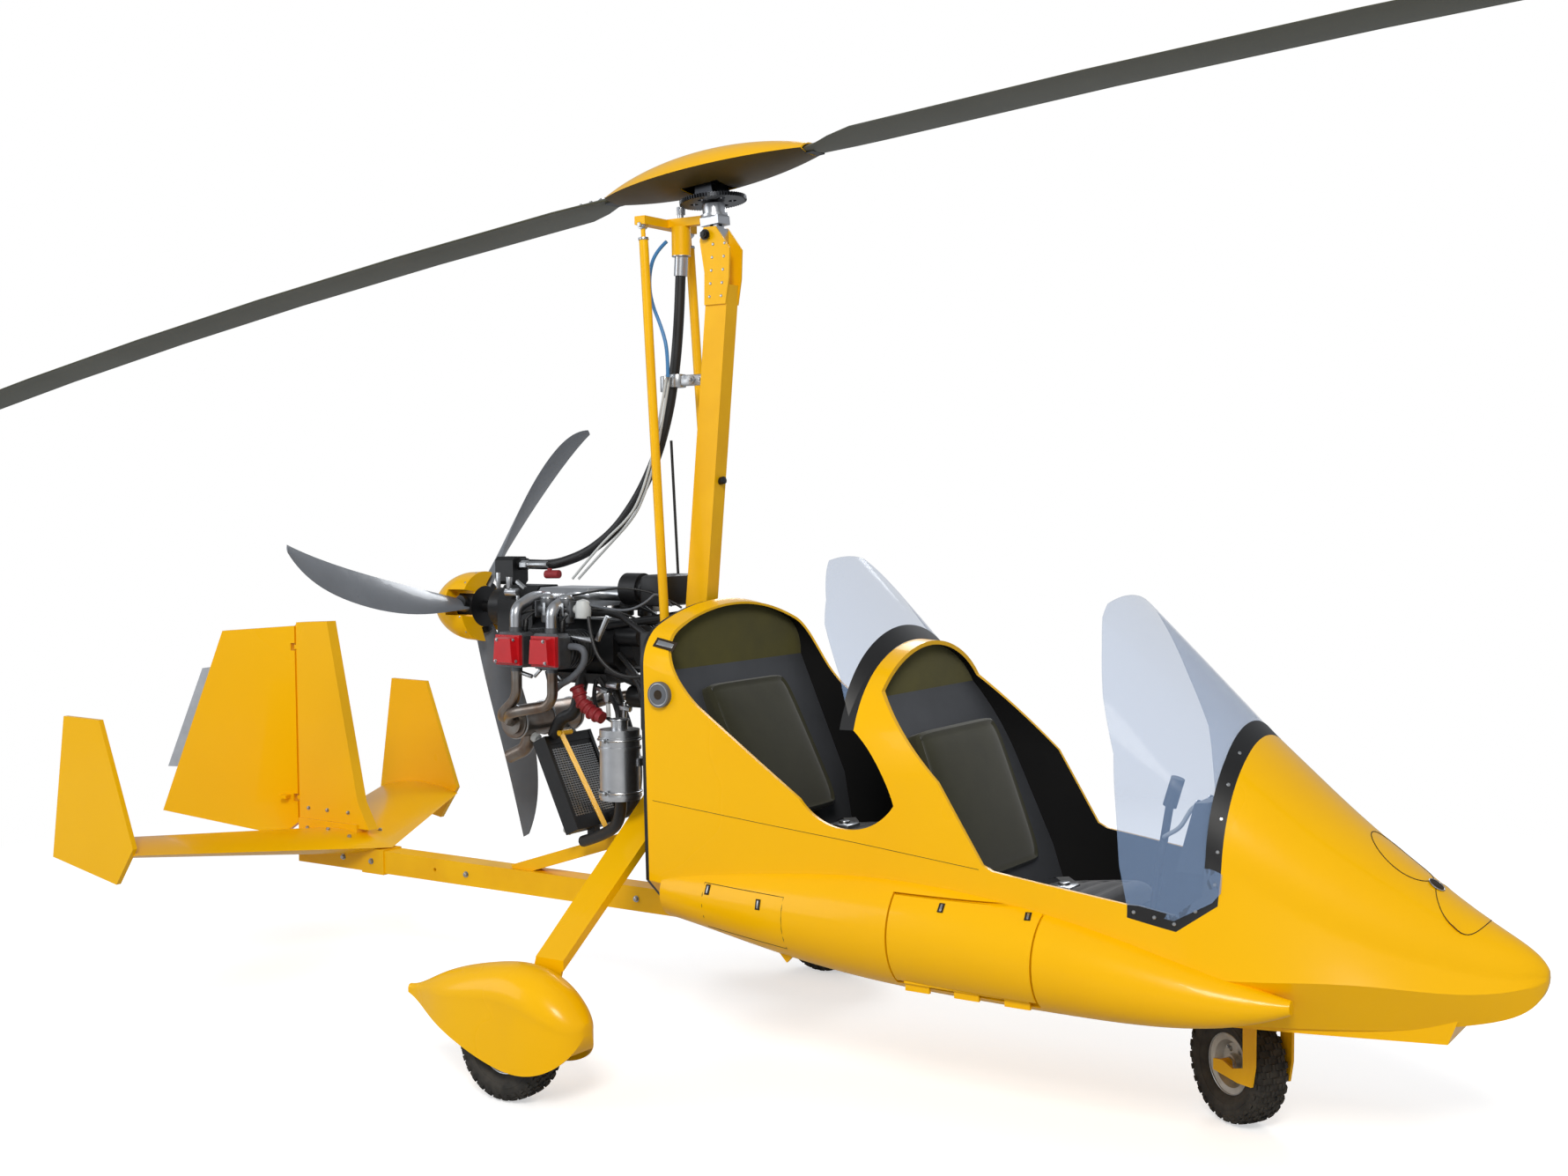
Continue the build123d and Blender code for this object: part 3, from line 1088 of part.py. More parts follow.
def build():
    """Make every piece, seat it on its neighbours and store it."""
    body, upper_shell, lower_shell, screen_trims = body_shells()
    firewall, front_bulkhead, rear_bulkhead, inside = cockpit_parts(body)
    keel, mast, cheeks = mast_and_keel()
    pieces = {}

    opened_pod, door = locker(pod_loft(body))
    opened_pod += plate_y(STEP_OUTLINE, *STEP_Y)
    pieces["pod_left"] = opened_pod
    pieces["locker_door_left"] = door
    pieces["pod_right"] = mirrored(opened_pod)
    pieces["locker_door_right"] = mirrored(door)

    underpan_outline = UNDERPAN_PLAN + [(x, -y) for x, y in reversed(UNDERPAN_PLAN)]
    underpan = plate_z(underpan_outline, UNDERPAN_Z, 480)
    front = UNDERPAN_PLAN[0][0]
    underpan -= plate_y([(front - UNDERPAN_FRONT_RAKE, UNDERPAN_Z - 1), (front + 1, 430), (front + 40, 430),
                         (front + 40, UNDERPAN_Z - 1)], -300, 300)
    underpan = main_solid(underpan - body)
    stem_hole = rod((STEER_X, 0, 330), (STEER_X, 0, 380), STEM_R + MOVING_GAP)
    pieces["nose_underpan"] = underpan - stem_hole
    pieces["body_lower"] = main_solid(lower_shell - stem_hole)
    pieces["body_upper"] = main_solid(upper_shell)
    pieces["screen_trims"] = Compound([main_solid(trim) for trim in screen_trims])
    front_screen, rear_screen = screens()
    pieces["windshield_front"] = main_solid(front_screen - screen_trims[1] - pieces["body_lower"])
    pieces["windshield_rear"] = main_solid(rear_screen - screen_trims[0] - pieces["body_upper"])
    pieces["bulkheads"] = Compound([firewall, front_bulkhead, rear_bulkhead])

    front_seat = plate_y([
        (FRONT_ARCH_X + 8, 1070), (FRONT_ARCH_X + 76, 1070), (1008, 640), (1065, 520), (1380, 560),
        (1400, 520), (1360, 440), (1072, 430),
    ], -200, 200) - front_bulkhead
    rear_seat = plate_y([
        (82, 1170), (132, 1170), (290, 810), (360, 660), (640, 690), (660, 650), (620, 560), (300, 560),
    ], -200, 200) - rear_bulkhead
    pieces["seat_front"] = main_solid(front_seat)
    pieces["seat_rear"] = main_solid(rear_seat)
    panel = plate_y([(1600, 720), (1650, 900), (1690, 905), (1690, 720)], -210, 210) & inside
    pedestal = block((1614, 1686), (-45, 45), (300, 760)) & inside
    pieces["instrument_panel"] = main_solid(panel + pedestal)
    pieces["control_sticks"] = controls((pieces["seat_front"], pieces["seat_rear"]))
    cap = rod((92, -420, 1118), (92, -380, 1118), 38) - body
    pieces["fuel_cap"] = main_solid(cap)

    pieces["keel_tube"] = keel
    pieces["mast_tube"] = mast
    bearing, head, pivot_pin = rotor_head_fixed()
    pieces["mast_cheek_plates"] = cheeks - pivot_pin
    pieces["head_pivot"] = head + pivot_pin
    pieces["rotor_bearing"] = bearing
    pieces["torque_bar"] = main_solid(torque_bar() - head - bearing)
    pieces["push_rods"] = Compound(push_rods())
    head_rotor, hub_bar, front_blade, rear_blade = rotor_parts()
    pieces["rotor_head"] = in_rotor_frame(head_rotor)
    pieces["hub_bar"] = in_rotor_frame(hub_bar)
    pieces["rotor_blade_front"] = in_rotor_frame(front_blade)
    pieces["rotor_blade_rear"] = in_rotor_frame(rear_blade)
    fairing = rotor_fairing()
    for part in (hub_bar, front_blade, rear_blade):
        fairing = fairing - part
    pieces["rotor_fairing"] = in_rotor_frame(main_solid(fairing))

    case, cylinders, covers = engine_parts()
    gear_case, shaft = gearbox()
    pieces["crankcase"] = case
    pieces["cylinders"] = cylinders
    pieces["valve_covers"] = covers
    pieces["gearbox"] = gear_case
    pieces["intake"] = intake()
    pieces["exhaust"] = exhaust()
    radiator, oil_tank = coolers()
    pieces["radiator"] = main_solid(radiator - keel)
    pieces["oil_tank"] = oil_tank
    pieces["coolant_hoses"] = Compound([main_solid(hose - radiator - case) for hose in coolant_hoses()])
    pieces["flex_drive"] = flex_drive()
    pieces["pinion_drive"] = Compound(pinion_housing())
    pieces["engine_mount"] = Compound([main_solid(piece - case - mast) for piece in engine_mount()])

    hub, blades, spinner = propeller()
    pieces["prop_hub"] = hub + shaft
    pieces["prop_blades"] = Compound(blades)
    pieces["prop_spinner"] = spinner

    leg, pant = main_gear()
    x, y, z = LEG_ROOT
    clamp = block((x - 55, x + 55), (-y, y), (z - 19, z + 19))
    pieces["gear_legs"] = both_sides(leg) + clamp - mast
    pieces["wheel_pant_left"] = pant
    pieces["wheel_pant_right"] = mirrored(pant)
    tyre, rim = wheel()
    for name, y in (("left", MAIN_WHEEL_Y), ("right", -MAIN_WHEEL_Y)):
        at = Pos(MAIN_WHEEL_X, y, WHEEL_R)
        pieces["tyre_" + name] = at * tyre
        pieces["rim_" + name] = at * rim
    fork, steering_head = nose_gear()
    pieces["nose_fork"] = fork
    pieces["steering_head"] = main_solid(steering_head - pieces["body_lower"])
    at = Pos(STEER_X, 0, 0) * Rot(0, 0, NOSE_STEER) * Pos(-NOSE_TRAIL, 0, WHEEL_R)
    pieces["tyre_nose"] = at * tyre
    pieces["rim_nose"] = at * rim

    stabiliser, fin, rudder, tab = tail_parts()
    pieces["stabiliser"] = main_solid(stabiliser - keel)
    pieces["fin"] = fin
    turn = Pos(RUDDER_HINGE_X, 0, 0) * Rot(0, 0, RUDDER_ANGLE) * Pos(-RUDDER_HINGE_X, 0, 0)
    pieces["rudder"] = turn * rudder
    pieces["trim_tab"] = turn * main_solid(tab)

    os.makedirs("parts", exist_ok=True)
    for name, shape in pieces.items():
        write(name, shape)


build()
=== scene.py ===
import json
import math

import bmesh
import bpy
from mathutils import Matrix, Vector
from mathutils.bvhtree import BVHTree


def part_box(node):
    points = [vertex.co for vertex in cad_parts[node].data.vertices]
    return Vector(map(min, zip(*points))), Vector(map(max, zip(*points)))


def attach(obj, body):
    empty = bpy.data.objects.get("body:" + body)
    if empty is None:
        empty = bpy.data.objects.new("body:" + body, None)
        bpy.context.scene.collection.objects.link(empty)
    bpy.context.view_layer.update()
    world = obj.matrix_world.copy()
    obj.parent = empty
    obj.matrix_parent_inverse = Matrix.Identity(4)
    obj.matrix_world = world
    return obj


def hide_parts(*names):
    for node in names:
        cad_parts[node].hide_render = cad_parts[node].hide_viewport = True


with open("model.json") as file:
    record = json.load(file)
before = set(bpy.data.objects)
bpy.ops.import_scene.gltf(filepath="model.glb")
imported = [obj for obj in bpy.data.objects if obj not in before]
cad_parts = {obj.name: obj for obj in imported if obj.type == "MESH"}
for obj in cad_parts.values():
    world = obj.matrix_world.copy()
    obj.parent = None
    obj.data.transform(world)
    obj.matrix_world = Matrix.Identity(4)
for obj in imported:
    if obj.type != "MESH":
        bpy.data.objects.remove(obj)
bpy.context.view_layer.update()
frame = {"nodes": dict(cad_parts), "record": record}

bl_info = {
    "name": "Tandem gyrocopter",
    "version": (1, 0, 0),
    "blender": (4, 5, 0),
    "location": "View3D > Sidebar > Gyrocopter",
    "description": "Dresses the packed gyrocopter with its finishes, fittings and soft goods",
    "category": "Object",
}

UP = Vector((0, 0, 1))
ACROSS = Vector((0, 1, 0))
SIDES = ((-1, "right"), (1, "left"))
WHEEL_HEIGHT = 0.16
MAIN_WHEEL = Vector((-0.13, 0.831, WHEEL_HEIGHT))
NOSE_TURN = Matrix.Rotation(math.radians(-33), 3, "Z")   # the nose fork's turn at rest
STEER_AXIS = Vector((1.775, 0, 0))
NOSE_TRAIL = 0.13
PROP_HUB = Vector((-1.01, 0, 1.331))


# Colours and materials

def linear(hex_colour):
    """A colour written as sRGB hex, as the linear RGBA that the shaders take."""
    parts = [int(hex_colour[i:i + 2], 16) / 255 for i in (0, 2, 4)]
    return [p / 12.92 if p <= 0.04045 else ((p + 0.055) / 1.055) ** 2.4 for p in parts] + [1.0]


def add_node(owner, kind, settings=None, links=None):
    """Adds a shader node to a material or world, sets its attributes and inputs and links sockets into it."""
    item = owner.node_tree.nodes.new("ShaderNode" + kind)
    for key, value in (settings or {}).items():
        if isinstance(key, str) and key in item.bl_rna.properties:
            setattr(item, key, value)
        else:
            item.inputs[key].default_value = value
    for key, socket in (links or {}).items():
        owner.node_tree.links.new(socket, item.inputs[key])
    return item


def blank(owner):
    """Empties the node tree of a new material or world."""
    owner.use_nodes = True
    owner.node_tree.nodes.clear()
    return owner


def close_material(material, shader, hex_colour):
    """Links the shader to the output and sets the viewport colour."""
    add_node(material, "OutputMaterial", links={"Surface": shader.outputs[0]})
    material.diffuse_color = linear(hex_colour)
    return material


def surface(name, base, shade, roughness, patch_mm, grain_mm, bump_mm, metallic=0.0, swing=0.06, coat=0.0,
            shade_share=0.35, sheen=0.0, specular=0.5):
    """A finish with slow changes of shade, a fine grain in its height and a little change in its gloss."""
    material = blank(bpy.data.materials.new(name))
    place = add_node(material, "TexCoord").outputs["Object"]
    patches = add_node(material, "TexNoise",
                       {"Scale": 1000 / patch_mm, "Detail": 3.0, "Roughness": 0.55}, {"Vector": place})
    grain = add_node(material, "TexNoise",
                     {"Scale": 1000 / grain_mm, "Detail": 2.0, "Roughness": 0.5}, {"Vector": place})
    amount = add_node(material, "MapRange",
                      {"From Min": 0.35, "From Max": 0.7, "To Min": 0.0, "To Max": shade_share},
                      {"Value": patches.outputs["Fac"]})
    colour = add_node(material, "Mix", {"data_type": "RGBA", 6: linear(base), 7: linear(shade)},
                      {0: amount.outputs["Result"]})
    gloss = add_node(material, "MapRange",
                     {"To Min": max(0.02, roughness - swing), "To Max": roughness + swing},
                     {"Value": patches.outputs["Fac"]})
    bump = add_node(material, "Bump", {"Strength": 0.6, "Distance": bump_mm / 1000},
                    {"Height": grain.outputs["Fac"]})
    shader = add_node(material, "BsdfPrincipled",
                      {"Metallic": metallic, "Coat Weight": coat, "Coat Roughness": 0.05,
                       "Sheen Weight": sheen, "Specular IOR Level": specular},
                      {"Base Color": colour.outputs[2], "Roughness": gloss.outputs["Result"],
                       "Normal": bump.outputs["Normal"]})
    return close_material(material, shader, base)


FINISH_TABLE = {
    # name: colour, its shade, roughness, patches, grain and bumps in mm, further settings of surface()
    # two-pack gloss paint on moulded shells: saturated and shiny, with faint orange peel
    "gloss_paint": ("paint", "E09A00", 0.28, 900, 6, 0.05,
                    dict(coat=0.15, shade_share=0.22, specular=0.16, swing=0.05)),
    # the same paint brushed on steel and aluminium tube: a little flatter
    "tube_paint": ("paint", "D89200", 0.36, 220, 4, 0.06,
                   dict(coat=0.05, shade_share=0.35, specular=0.22, swing=0.07)),
    # satin black moulded plastic with a fine leather-like grain
    "black_plastic": ("0B0B0C", "1A1A1C", 0.48, 120, 1.4, 0.08, {}),
    # dark olive on the bulkheads inside the shells, standing for the yellow paint in shade: painted shade,
    # dark and dull
    "olive_painted_shade": ("liner", "24240F", 0.82, 160, 1.2, 0.2, dict(sheen=0.2, specular=0.3)),
    # rolled aluminium, machined: bright with soft scratches
    "machined_aluminium": ("C9CBCE", "9EA1A5", 0.3, 60, 1, 0.02, dict(metallic=1.0)),
    # sand-cast aluminium of the crankcase: grey and grainy, a little oily
    "cast_aluminium": ("6E7073", "3E4042", 0.5, 70, 1.6, 0.15, dict(metallic=0.85, shade_share=0.6)),
    # wrinkle-finish red enamel on the rocker covers
    "red_enamel": ("C0141C", "8E0A12", 0.3, 60, 2.5, 0.08, dict(coat=0.4)),
    # black powder coat on brackets, hub and radiator
    "black_powder": ("101113", "1E2022", 0.42, 80, 1.2, 0.1, dict(metallic=0.1)),
    # stainless steel exhaust: blued and browned by heat
    "heat_steel": ("8B8680", "6A4F3A", 0.34, 90, 1.5, 0.03, dict(metallic=1.0, shade_share=0.8)),
    # smooth hose rubber
    "hose_rubber": ("121213", "202022", 0.46, 90, 1, 0.05, {}),
    # tyre rubber: dusty dark grey
    "tyre_rubber": ("2B2A28", "4A4640", 0.78, 45, 1.5, 0.25, dict(shade_share=0.7, specular=0.3)),
    # grey gel-coated composite of the propeller
    "grey_gelcoat": ("6F747B", "54585F", 0.3, 180, 3, 0.03, dict(coat=0.3)),
    # olive-drab painted extrusion of the rotor blades
    "blade_paint": ("blade", "34341F", 0.42, 700, 3, 0.04, dict(shade_share=0.5)),
    # pressed rims of cast alloy, dusted by the brakes
    "rim_alloy": ("C4C3BE", "8E8B84", 0.38, 40, 1.4, 0.06, dict(metallic=0.7, shade_share=0.55)),
    # zinc-plated fasteners
    "zinc_plate": ("B9BBBD", "8D9093", 0.32, 10, 0.8, 0.01, dict(metallic=1.0)),
    # grey moulded nylon of caps and vents
    "grey_nylon": ("5C6066", "44474C", 0.55, 40, 1.2, 0.06, {}),
    # red moulded silicone bellows and caps
    "red_silicone": ("8E1C22", "5E0F14", 0.55, 30, 1, 0.05, {}),
    # pale polyethylene of the bottle and filter
    "pale_plastic": ("C9CCCB", "A9ADAD", 0.45, 60, 1.4, 0.05, {}),
    # blue polyurethane hose
    "blue_hose": ("3D7FB8", "2E659A", 0.35, 60, 1.5, 0.02, {}),
    # the dark of a narrow joint between two shells; also the painted shade in the latch wells, the vent, the
    # nose port and the filler cap's recess
    "seam_shadow": ("2A1C02", "1A1202", 0.8, 50, 1, 0.01, {}),
    # grey moulded shell behind the seat pads
    "shell_grey": ("45474B", "2F3134", 0.5, 160, 1.6, 0.06, {}),
    # dark brown-olive on the rotor fairing's downward faces: painted shade under the fairing
    "underside_painted_shade": ("4A3A10", "352A0C", 0.5, 140, 2, 0.05, {}),
    # blued dark steel of the rotor head
    "dark_steel": ("3A3C40", "232427", 0.34, 60, 1, 0.03, dict(metallic=0.9)),
    # olive cloth over the foam of the seats' backs
    "olive_fabric": ("33321F", "26251A", 0.85, 90, 1.2, 0.2, dict(sheen=0.25, specular=0.3)),
    # woven polyester webbing, charcoal
    "harness_webbing": ("1D1E22", "2C2D33", 0.75, 30, 1, 0.1, dict(sheen=0.3)),
    # flock and paint inside the shells: near black
    "black_flock": ("0C0C0D", "191816", 0.85, 140, 1.2, 0.15, dict(specular=0.3)),
    # glossy black dial glass, blank
    "dial_face": ("0A0A0C", "101013", 0.12, 60, 2, 0, {}),
}
FINISHES = {}


def make_finishes(looks):
    """Makes every finish of the aircraft; the paint, the olive painted shade of the bulkheads and the blade
    colours come from the looks.
    """
    for name, (base, *settings, further) in FINISH_TABLE.items():
        FINISHES[name] = surface(name, getattr(looks, base, base), *settings, **further)
    FINISHES["clear_screen"] = clear_screen()
    FINISHES["seat_fabric"] = seat_fabric()


def clear_screen():
    """Clear acrylic sheet, blown and polished, with a faint cool tint."""
    material = blank(bpy.data.materials.new("clear_acrylic"))
    shader = add_node(material, "BsdfPrincipled",
                      {"Base Color": linear("8FA8CC"), "Roughness": 0.1, "Alpha": 0.3,
                       "Specular IOR Level": 0.08, "IOR": 1.49})
    return close_material(material, shader, "8FA8CC")


def seat_fabric():
    """Black woven nylon over foam: a 1.2 mm plain weave, drawn at 3 mm so that it shows."""
    material = blank(bpy.data.materials.new("woven_nylon"))
    place = add_node(material, "TexCoord").outputs["Object"]
    warp, weft = (
        add_node(material, "TexWave", {"bands_direction": axis, "Scale": 105.0, "Distortion": 0.4},
                 {"Vector": place}) for axis in "YZ")
    weave = add_node(material, "Math", {"operation": "MAXIMUM"},
                     {0: warp.outputs["Fac"], 1: weft.outputs["Fac"]})
    patches = add_node(material, "TexNoise", {"Scale": 9.0, "Detail": 4.0}, {"Vector": place})
    colour = add_node(material, "Mix", {"data_type": "RGBA", 6: linear("0E0F12"), 7: linear("20222A")},
                      {0: patches.outputs["Fac"]})
    bump = add_node(material, "Bump", {"Strength": 0.5, "Distance": 0.0006},
                    {"Height": weave.outputs[0]})
    shader = add_node(material, "BsdfPrincipled",
                      {"Roughness": 0.85, "Sheen Weight": 0.35, "Sheen Roughness": 0.5,
                       "Specular IOR Level": 0.3},
                      {"Base Color": colour.outputs[2], "Normal": bump.outputs["Normal"]})
    return close_material(material, shader, "16171B")


# Mesh helpers

def dress(name, data, finish, body="airframe"):
    """Makes an object of a mesh or curve that rides on a body, with its finish."""
    piece = bpy.data.objects.new(name, data)
    bpy.context.scene.collection.objects.link(piece)
    data.materials.append(FINISHES[finish])
    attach(piece, body)
    return piece


def new_object(name, bm, finish="zinc_plate", body="airframe", smooth=35.0):
    """Turns a bmesh into a piece, with merged points and smooth shading up to an angle."""
    bmesh.ops.remove_doubles(bm, verts=bm.verts, dist=1e-6)
    bmesh.ops.recalc_face_normals(bm, faces=bm.faces)
    mesh = bpy.data.meshes.new(name)
    bm.to_mesh(mesh)
    bm.free()
    shade_by_angle(mesh, smooth)
    return dress(name, mesh, finish, body)


def shade_by_angle(mesh, degrees):
    """Smooth shading with sharp edges where faces meet at more than an angle."""
    mesh.shade_smooth()
    bm = bmesh.new()
    bm.from_mesh(mesh)
    limit = math.radians(degrees)
    for edge in bm.edges:
        edge.smooth = edge.is_manifold and edge.calc_face_angle(0.0) < limit
    bm.to_mesh(mesh)
    bm.free()


def ease(bm, edges, width):
    """Rounds edges by two segments."""
    bmesh.ops.bevel(bm, geom=edges, offset=width, segments=2, profile=0.5, material=-1, affect="EDGES")


def add_box(bm, low, high, bevel=0.0, turn=None):
    """A box between two corners, with rounded edges, turned about its middle if asked."""
    low, high = Vector(low), Vector(high)
    made = bmesh.ops.create_cube(bm, size=1.0)["verts"]
    place = Matrix.Translation((low + high) / 2) @ (turn.to_4x4() if turn else Matrix())
    bmesh.ops.transform(bm, matrix=place @ Matrix.Diagonal((*(high - low), 1.0)), verts=made)
    if bevel:
        ease(bm, list({edge for vert in made for edge in vert.link_edges}), bevel)


def add_rod(bm, start, end, radius, sides=20, radius_end=None, bevel=0.0):
    """A round bar or cone between two points, with eased end edges."""
    start, end = Vector(start), Vector(end)
    axis = end - start
    matrix = Matrix.Translation((start + end) / 2) @ axis.to_track_quat("Z", "Y").to_matrix().to_4x4()
    made = bmesh.ops.create_cone(bm, cap_ends=True, segments=sides, radius1=radius,
                                 radius2=radius if radius_end is None else radius_end, depth=axis.length,
                                 matrix=matrix)["verts"]
    if bevel:
        ahead = axis.normalized()
        ease(bm, [edge for edge in {edge for vert in made for edge in vert.link_edges}
                  if abs((edge.verts[0].co - edge.verts[1].co).normalized().dot(ahead)) < 0.5], bevel)


def add_post(bm, x, y, low, high, radius, sides, bevel, radius_end=None):
    """An upright rod between two heights."""
    add_rod(bm, (x, y, low), (x, y, high), radius, sides, radius_end, bevel)


def add_pin(bm, place, half_width, radius):
    """A rod across the aircraft with its middle at a place."""
    add_rod(bm, place - ACROSS * half_width, place + ACROSS * half_width, radius, 28, bevel=0.002)


def add_bolt(bm, at, normal, radius, height, washer=True):
    """A hexagon bolt head on its washer, standing on a surface."""
    at, normal = Vector(at), Vector(normal).normalized()
    if washer:
        add_rod(bm, at, at + normal * height * 0.3, radius * 1.35, 16)
    add_rod(bm, at + normal * height * 0.3, at + normal * height * 1.3, radius, 6, bevel=radius * 0.08)


def add_screw(bm, at, normal, radius):
    """A low round screw head."""
    at, normal = Vector(at), Vector(normal).normalized()
    add_rod(bm, at, at + normal * radius * 0.35, radius, 14, radius_end=radius * 0.72)


def add_ring(bm, centre, axis, radius, tube, around, across):
    """A ring of round section about an axis."""
    axis = Vector(axis).normalized()
    side = axis.orthogonal().normalized()
    turn = axis.cross(side).to_track_quat("Z", "Y").to_matrix().to_4x4()
    matrix = Matrix.Translation(Vector(centre) + side * radius) @ turn
    made = bmesh.ops.create_circle(bm, segments=across, radius=tube, matrix=matrix)["verts"]
    edges = list({edge for vert in made for edge in vert.link_edges})
    bmesh.ops.spin(bm, geom=made + edges, cent=centre, axis=axis, angle=math.tau, steps=around,
                   use_merge=True)


def add_lathe(bm, profile, origin, axis, steps=64, closed=True):
    """Spins a profile of (distance along the axis, radius) about the axis."""
    axis = Vector(axis).normalized()
    side = axis.orthogonal().normalized()
    verts = [bm.verts.new(Vector(origin) + axis * along + side * radius) for along, radius in profile]
    pairs = list(zip(verts, verts[1:])) + ([(verts[-1], verts[0])] if closed else [])
    edges = [bm.edges.new(pair) for pair in pairs]
    bmesh.ops.spin(bm, geom=verts + edges, cent=origin, axis=axis, angle=math.tau, steps=steps,
                   use_merge=True)


def tube_piece(name, points, radius, finish, order=3):
    """A hose, wire or joint line through its points: a smooth NURBS line, or straight runs at order 1."""
    curve = bpy.data.curves.new(name, "CURVE")
    curve.dimensions = "3D"
    curve.bevel_depth = radius
    curve.bevel_resolution = 4 if order > 1 else 1
    curve.use_fill_caps = True
    curve.resolution_u = 10
    spline = curve.splines.new("NURBS" if order > 1 else "POLY")
    spline.points.add(len(points) - 1)
    for point, place in zip(spline.points, points):
        point.co = (*place, 1.0)
    if order > 1:
        spline.order_u = min(order, len(points))
        spline.use_endpoint_u = True
    dress(name, curve, finish)


def smooth_copy(node, finish):
    """A merged, smoothly shaded copy of a CAD node that stands for it, cut and lined as the tables say."""
    bm = bmesh.new()
    bm.from_mesh(frame["nodes"][node].data)
    bmesh.ops.remove_doubles(bm, verts=bm.verts, dist=2e-5)
    for place, normal in CUTS.get(node, ()):
        bmesh.ops.bisect_plane(bm, geom=bm.verts[:] + bm.edges[:] + bm.faces[:], dist=1e-6, plane_co=place,
                               plane_no=normal)
    piece = new_object(node + "_skin", bm, finish, BODY_OF[node])
    for index, (lining, picks) in enumerate(LININGS.get(node, ()), start=1):
        piece.data.materials.append(FINISHES[lining])
        for face in piece.data.polygons:
            if picks(face.center, face.normal):
                face.material_index = index
    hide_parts(node)


SHELL_MIDDLE_Z = 0.72   # height of the body's middle line
NOSE_LINING_X = 2.28    # the lining of the shells ends here


def looks_inwards(centre, normal):
    """True for a face on the inside of the body's shells."""
    out = Vector((0, centre.y, centre.z - SHELL_MIDDLE_Z))
    return out.length > 0.05 and normal.dot(out.normalized()) < -0.25 and centre.x < NOSE_LINING_X


def smoothstep(low, high, value):
    """0 below low, 1 above high and a smooth rise between."""
    share = min(1.0, max(0.0, (value - low) / (high - low)))
    return share * share * (3 - 2 * share)


def metres(point_mm):
    """A point given in mm, in metres."""
    return tuple(value / 1000 for value in point_mm)


# Sizes and colours that a user may change

class GyroLooks(bpy.types.PropertyGroup):
    paint: bpy.props.StringProperty(
        name="Paint", description="Colour of the shells and tubes, as sRGB hex", default="F5BA00")
    # the liner's dark olive is painted shade: the yellow paint of the bulkheads as it looks in shade
    liner: bpy.props.StringProperty(
        name="Liner", description="Colour of the inside of the shells, as sRGB hex", default="4E4800")
    blade: bpy.props.StringProperty(
        name="Rotor blade", description="Colour of the rotor blades, as sRGB hex", default="43432F")
    tread_depth: bpy.props.FloatProperty(
        name="Tread depth", description="Depth of the tyre's blocks", default=0.0053, unit="LENGTH")
    camera_height: bpy.props.FloatProperty(
        name="Camera height", description="Height of the camera above the ground", default=1.67,
        unit="LENGTH")


# Stage

FLOOR_SIZE = 40                    # half the floor's side
FLOOR_DROP = 0.001                 # the floor lies this far under the tyres
FLOOR_FADE = (2.6, 5.0)            # distances from the middle over which the floor turns into white paper
LAMPS = (
    # name, place, aims at, size, power, colour: the key stands high ahead of the right side
    ("key_lamp", (4.5, -7.5, 6.5), (0.3, 0, 0.9), 2.6, 590, (1.0, 0.97, 0.92)),
    ("fill_lamp", (-6.0, -6.0, 3.5), (0, 0, 1.0), 5.0, 170, (0.93, 0.96, 1.0)),
    ("rim_lamp", (-2.0, 7.0, 5.5), (0, 0, 1.2), 3.5, 250, (0.93, 0.96, 1.0)),
)
FOCAL_PX, PHOTO_WIDTH_PX, SENSOR_MM = 2050, 1780, 36.0
CAMERA_X, CAMERA_Y = 3.32, -4.59
YAW, PITCH, ROLL = (math.radians(angle) for angle in (33.7, -2.64, -0.53))


def camera_rays(owner):
    """1 for what the camera sees, itself or through a clear sheet, and 0 for all other light."""
    path = add_node(owner, "LightPath")
    return add_node(owner, "Math", {"operation": "MAXIMUM"},
                    {0: path.outputs["Is Camera Ray"], 1: path.outputs["Is Transmission Ray"]}).outputs[0]


def paper_material():
    """Pale floor paper: it takes soft shadows near the aircraft and fades into white further out."""
    material = blank(bpy.data.materials.new("floor_paper"))
    seen = camera_rays(material)
    matte = add_node(material, "BsdfDiffuse", {"Color": linear("E4E4E4")})
    glow = add_node(material, "Emission", {"Color": linear("FFFFFF"), "Strength": 0.52})
    lit = add_node(material, "AddShader", links={0: matte.outputs[0], 1: glow.outputs[0]})
    plain = add_node(material, "BsdfDiffuse", {"Color": linear("C9C9C9")})
    both = add_node(material, "MixShader", links={0: seen, 1: plain.outputs[0], 2: lit.outputs[0]})
    place = add_node(material, "TexCoord").outputs["Object"]
    reach = add_node(material, "VectorMath", {"operation": "LENGTH"}, {0: place})
    away = add_node(material, "MapRange", {"From Min": FLOOR_FADE[0], "From Max": FLOOR_FADE[1]},
                    {"Value": reach.outputs["Value"]})
    far = add_node(material, "Math", {"operation": "MULTIPLY"}, {0: away.outputs["Result"], 1: seen})
    paper = add_node(material, "Emission", {"Color": linear("FFFFFF"), "Strength": 1.0})
    fading = add_node(material, "MixShader",
                      links={0: far.outputs[0], 1: both.outputs[0], 2: paper.outputs[0]})
    return close_material(material, fading, "F5F5F5")


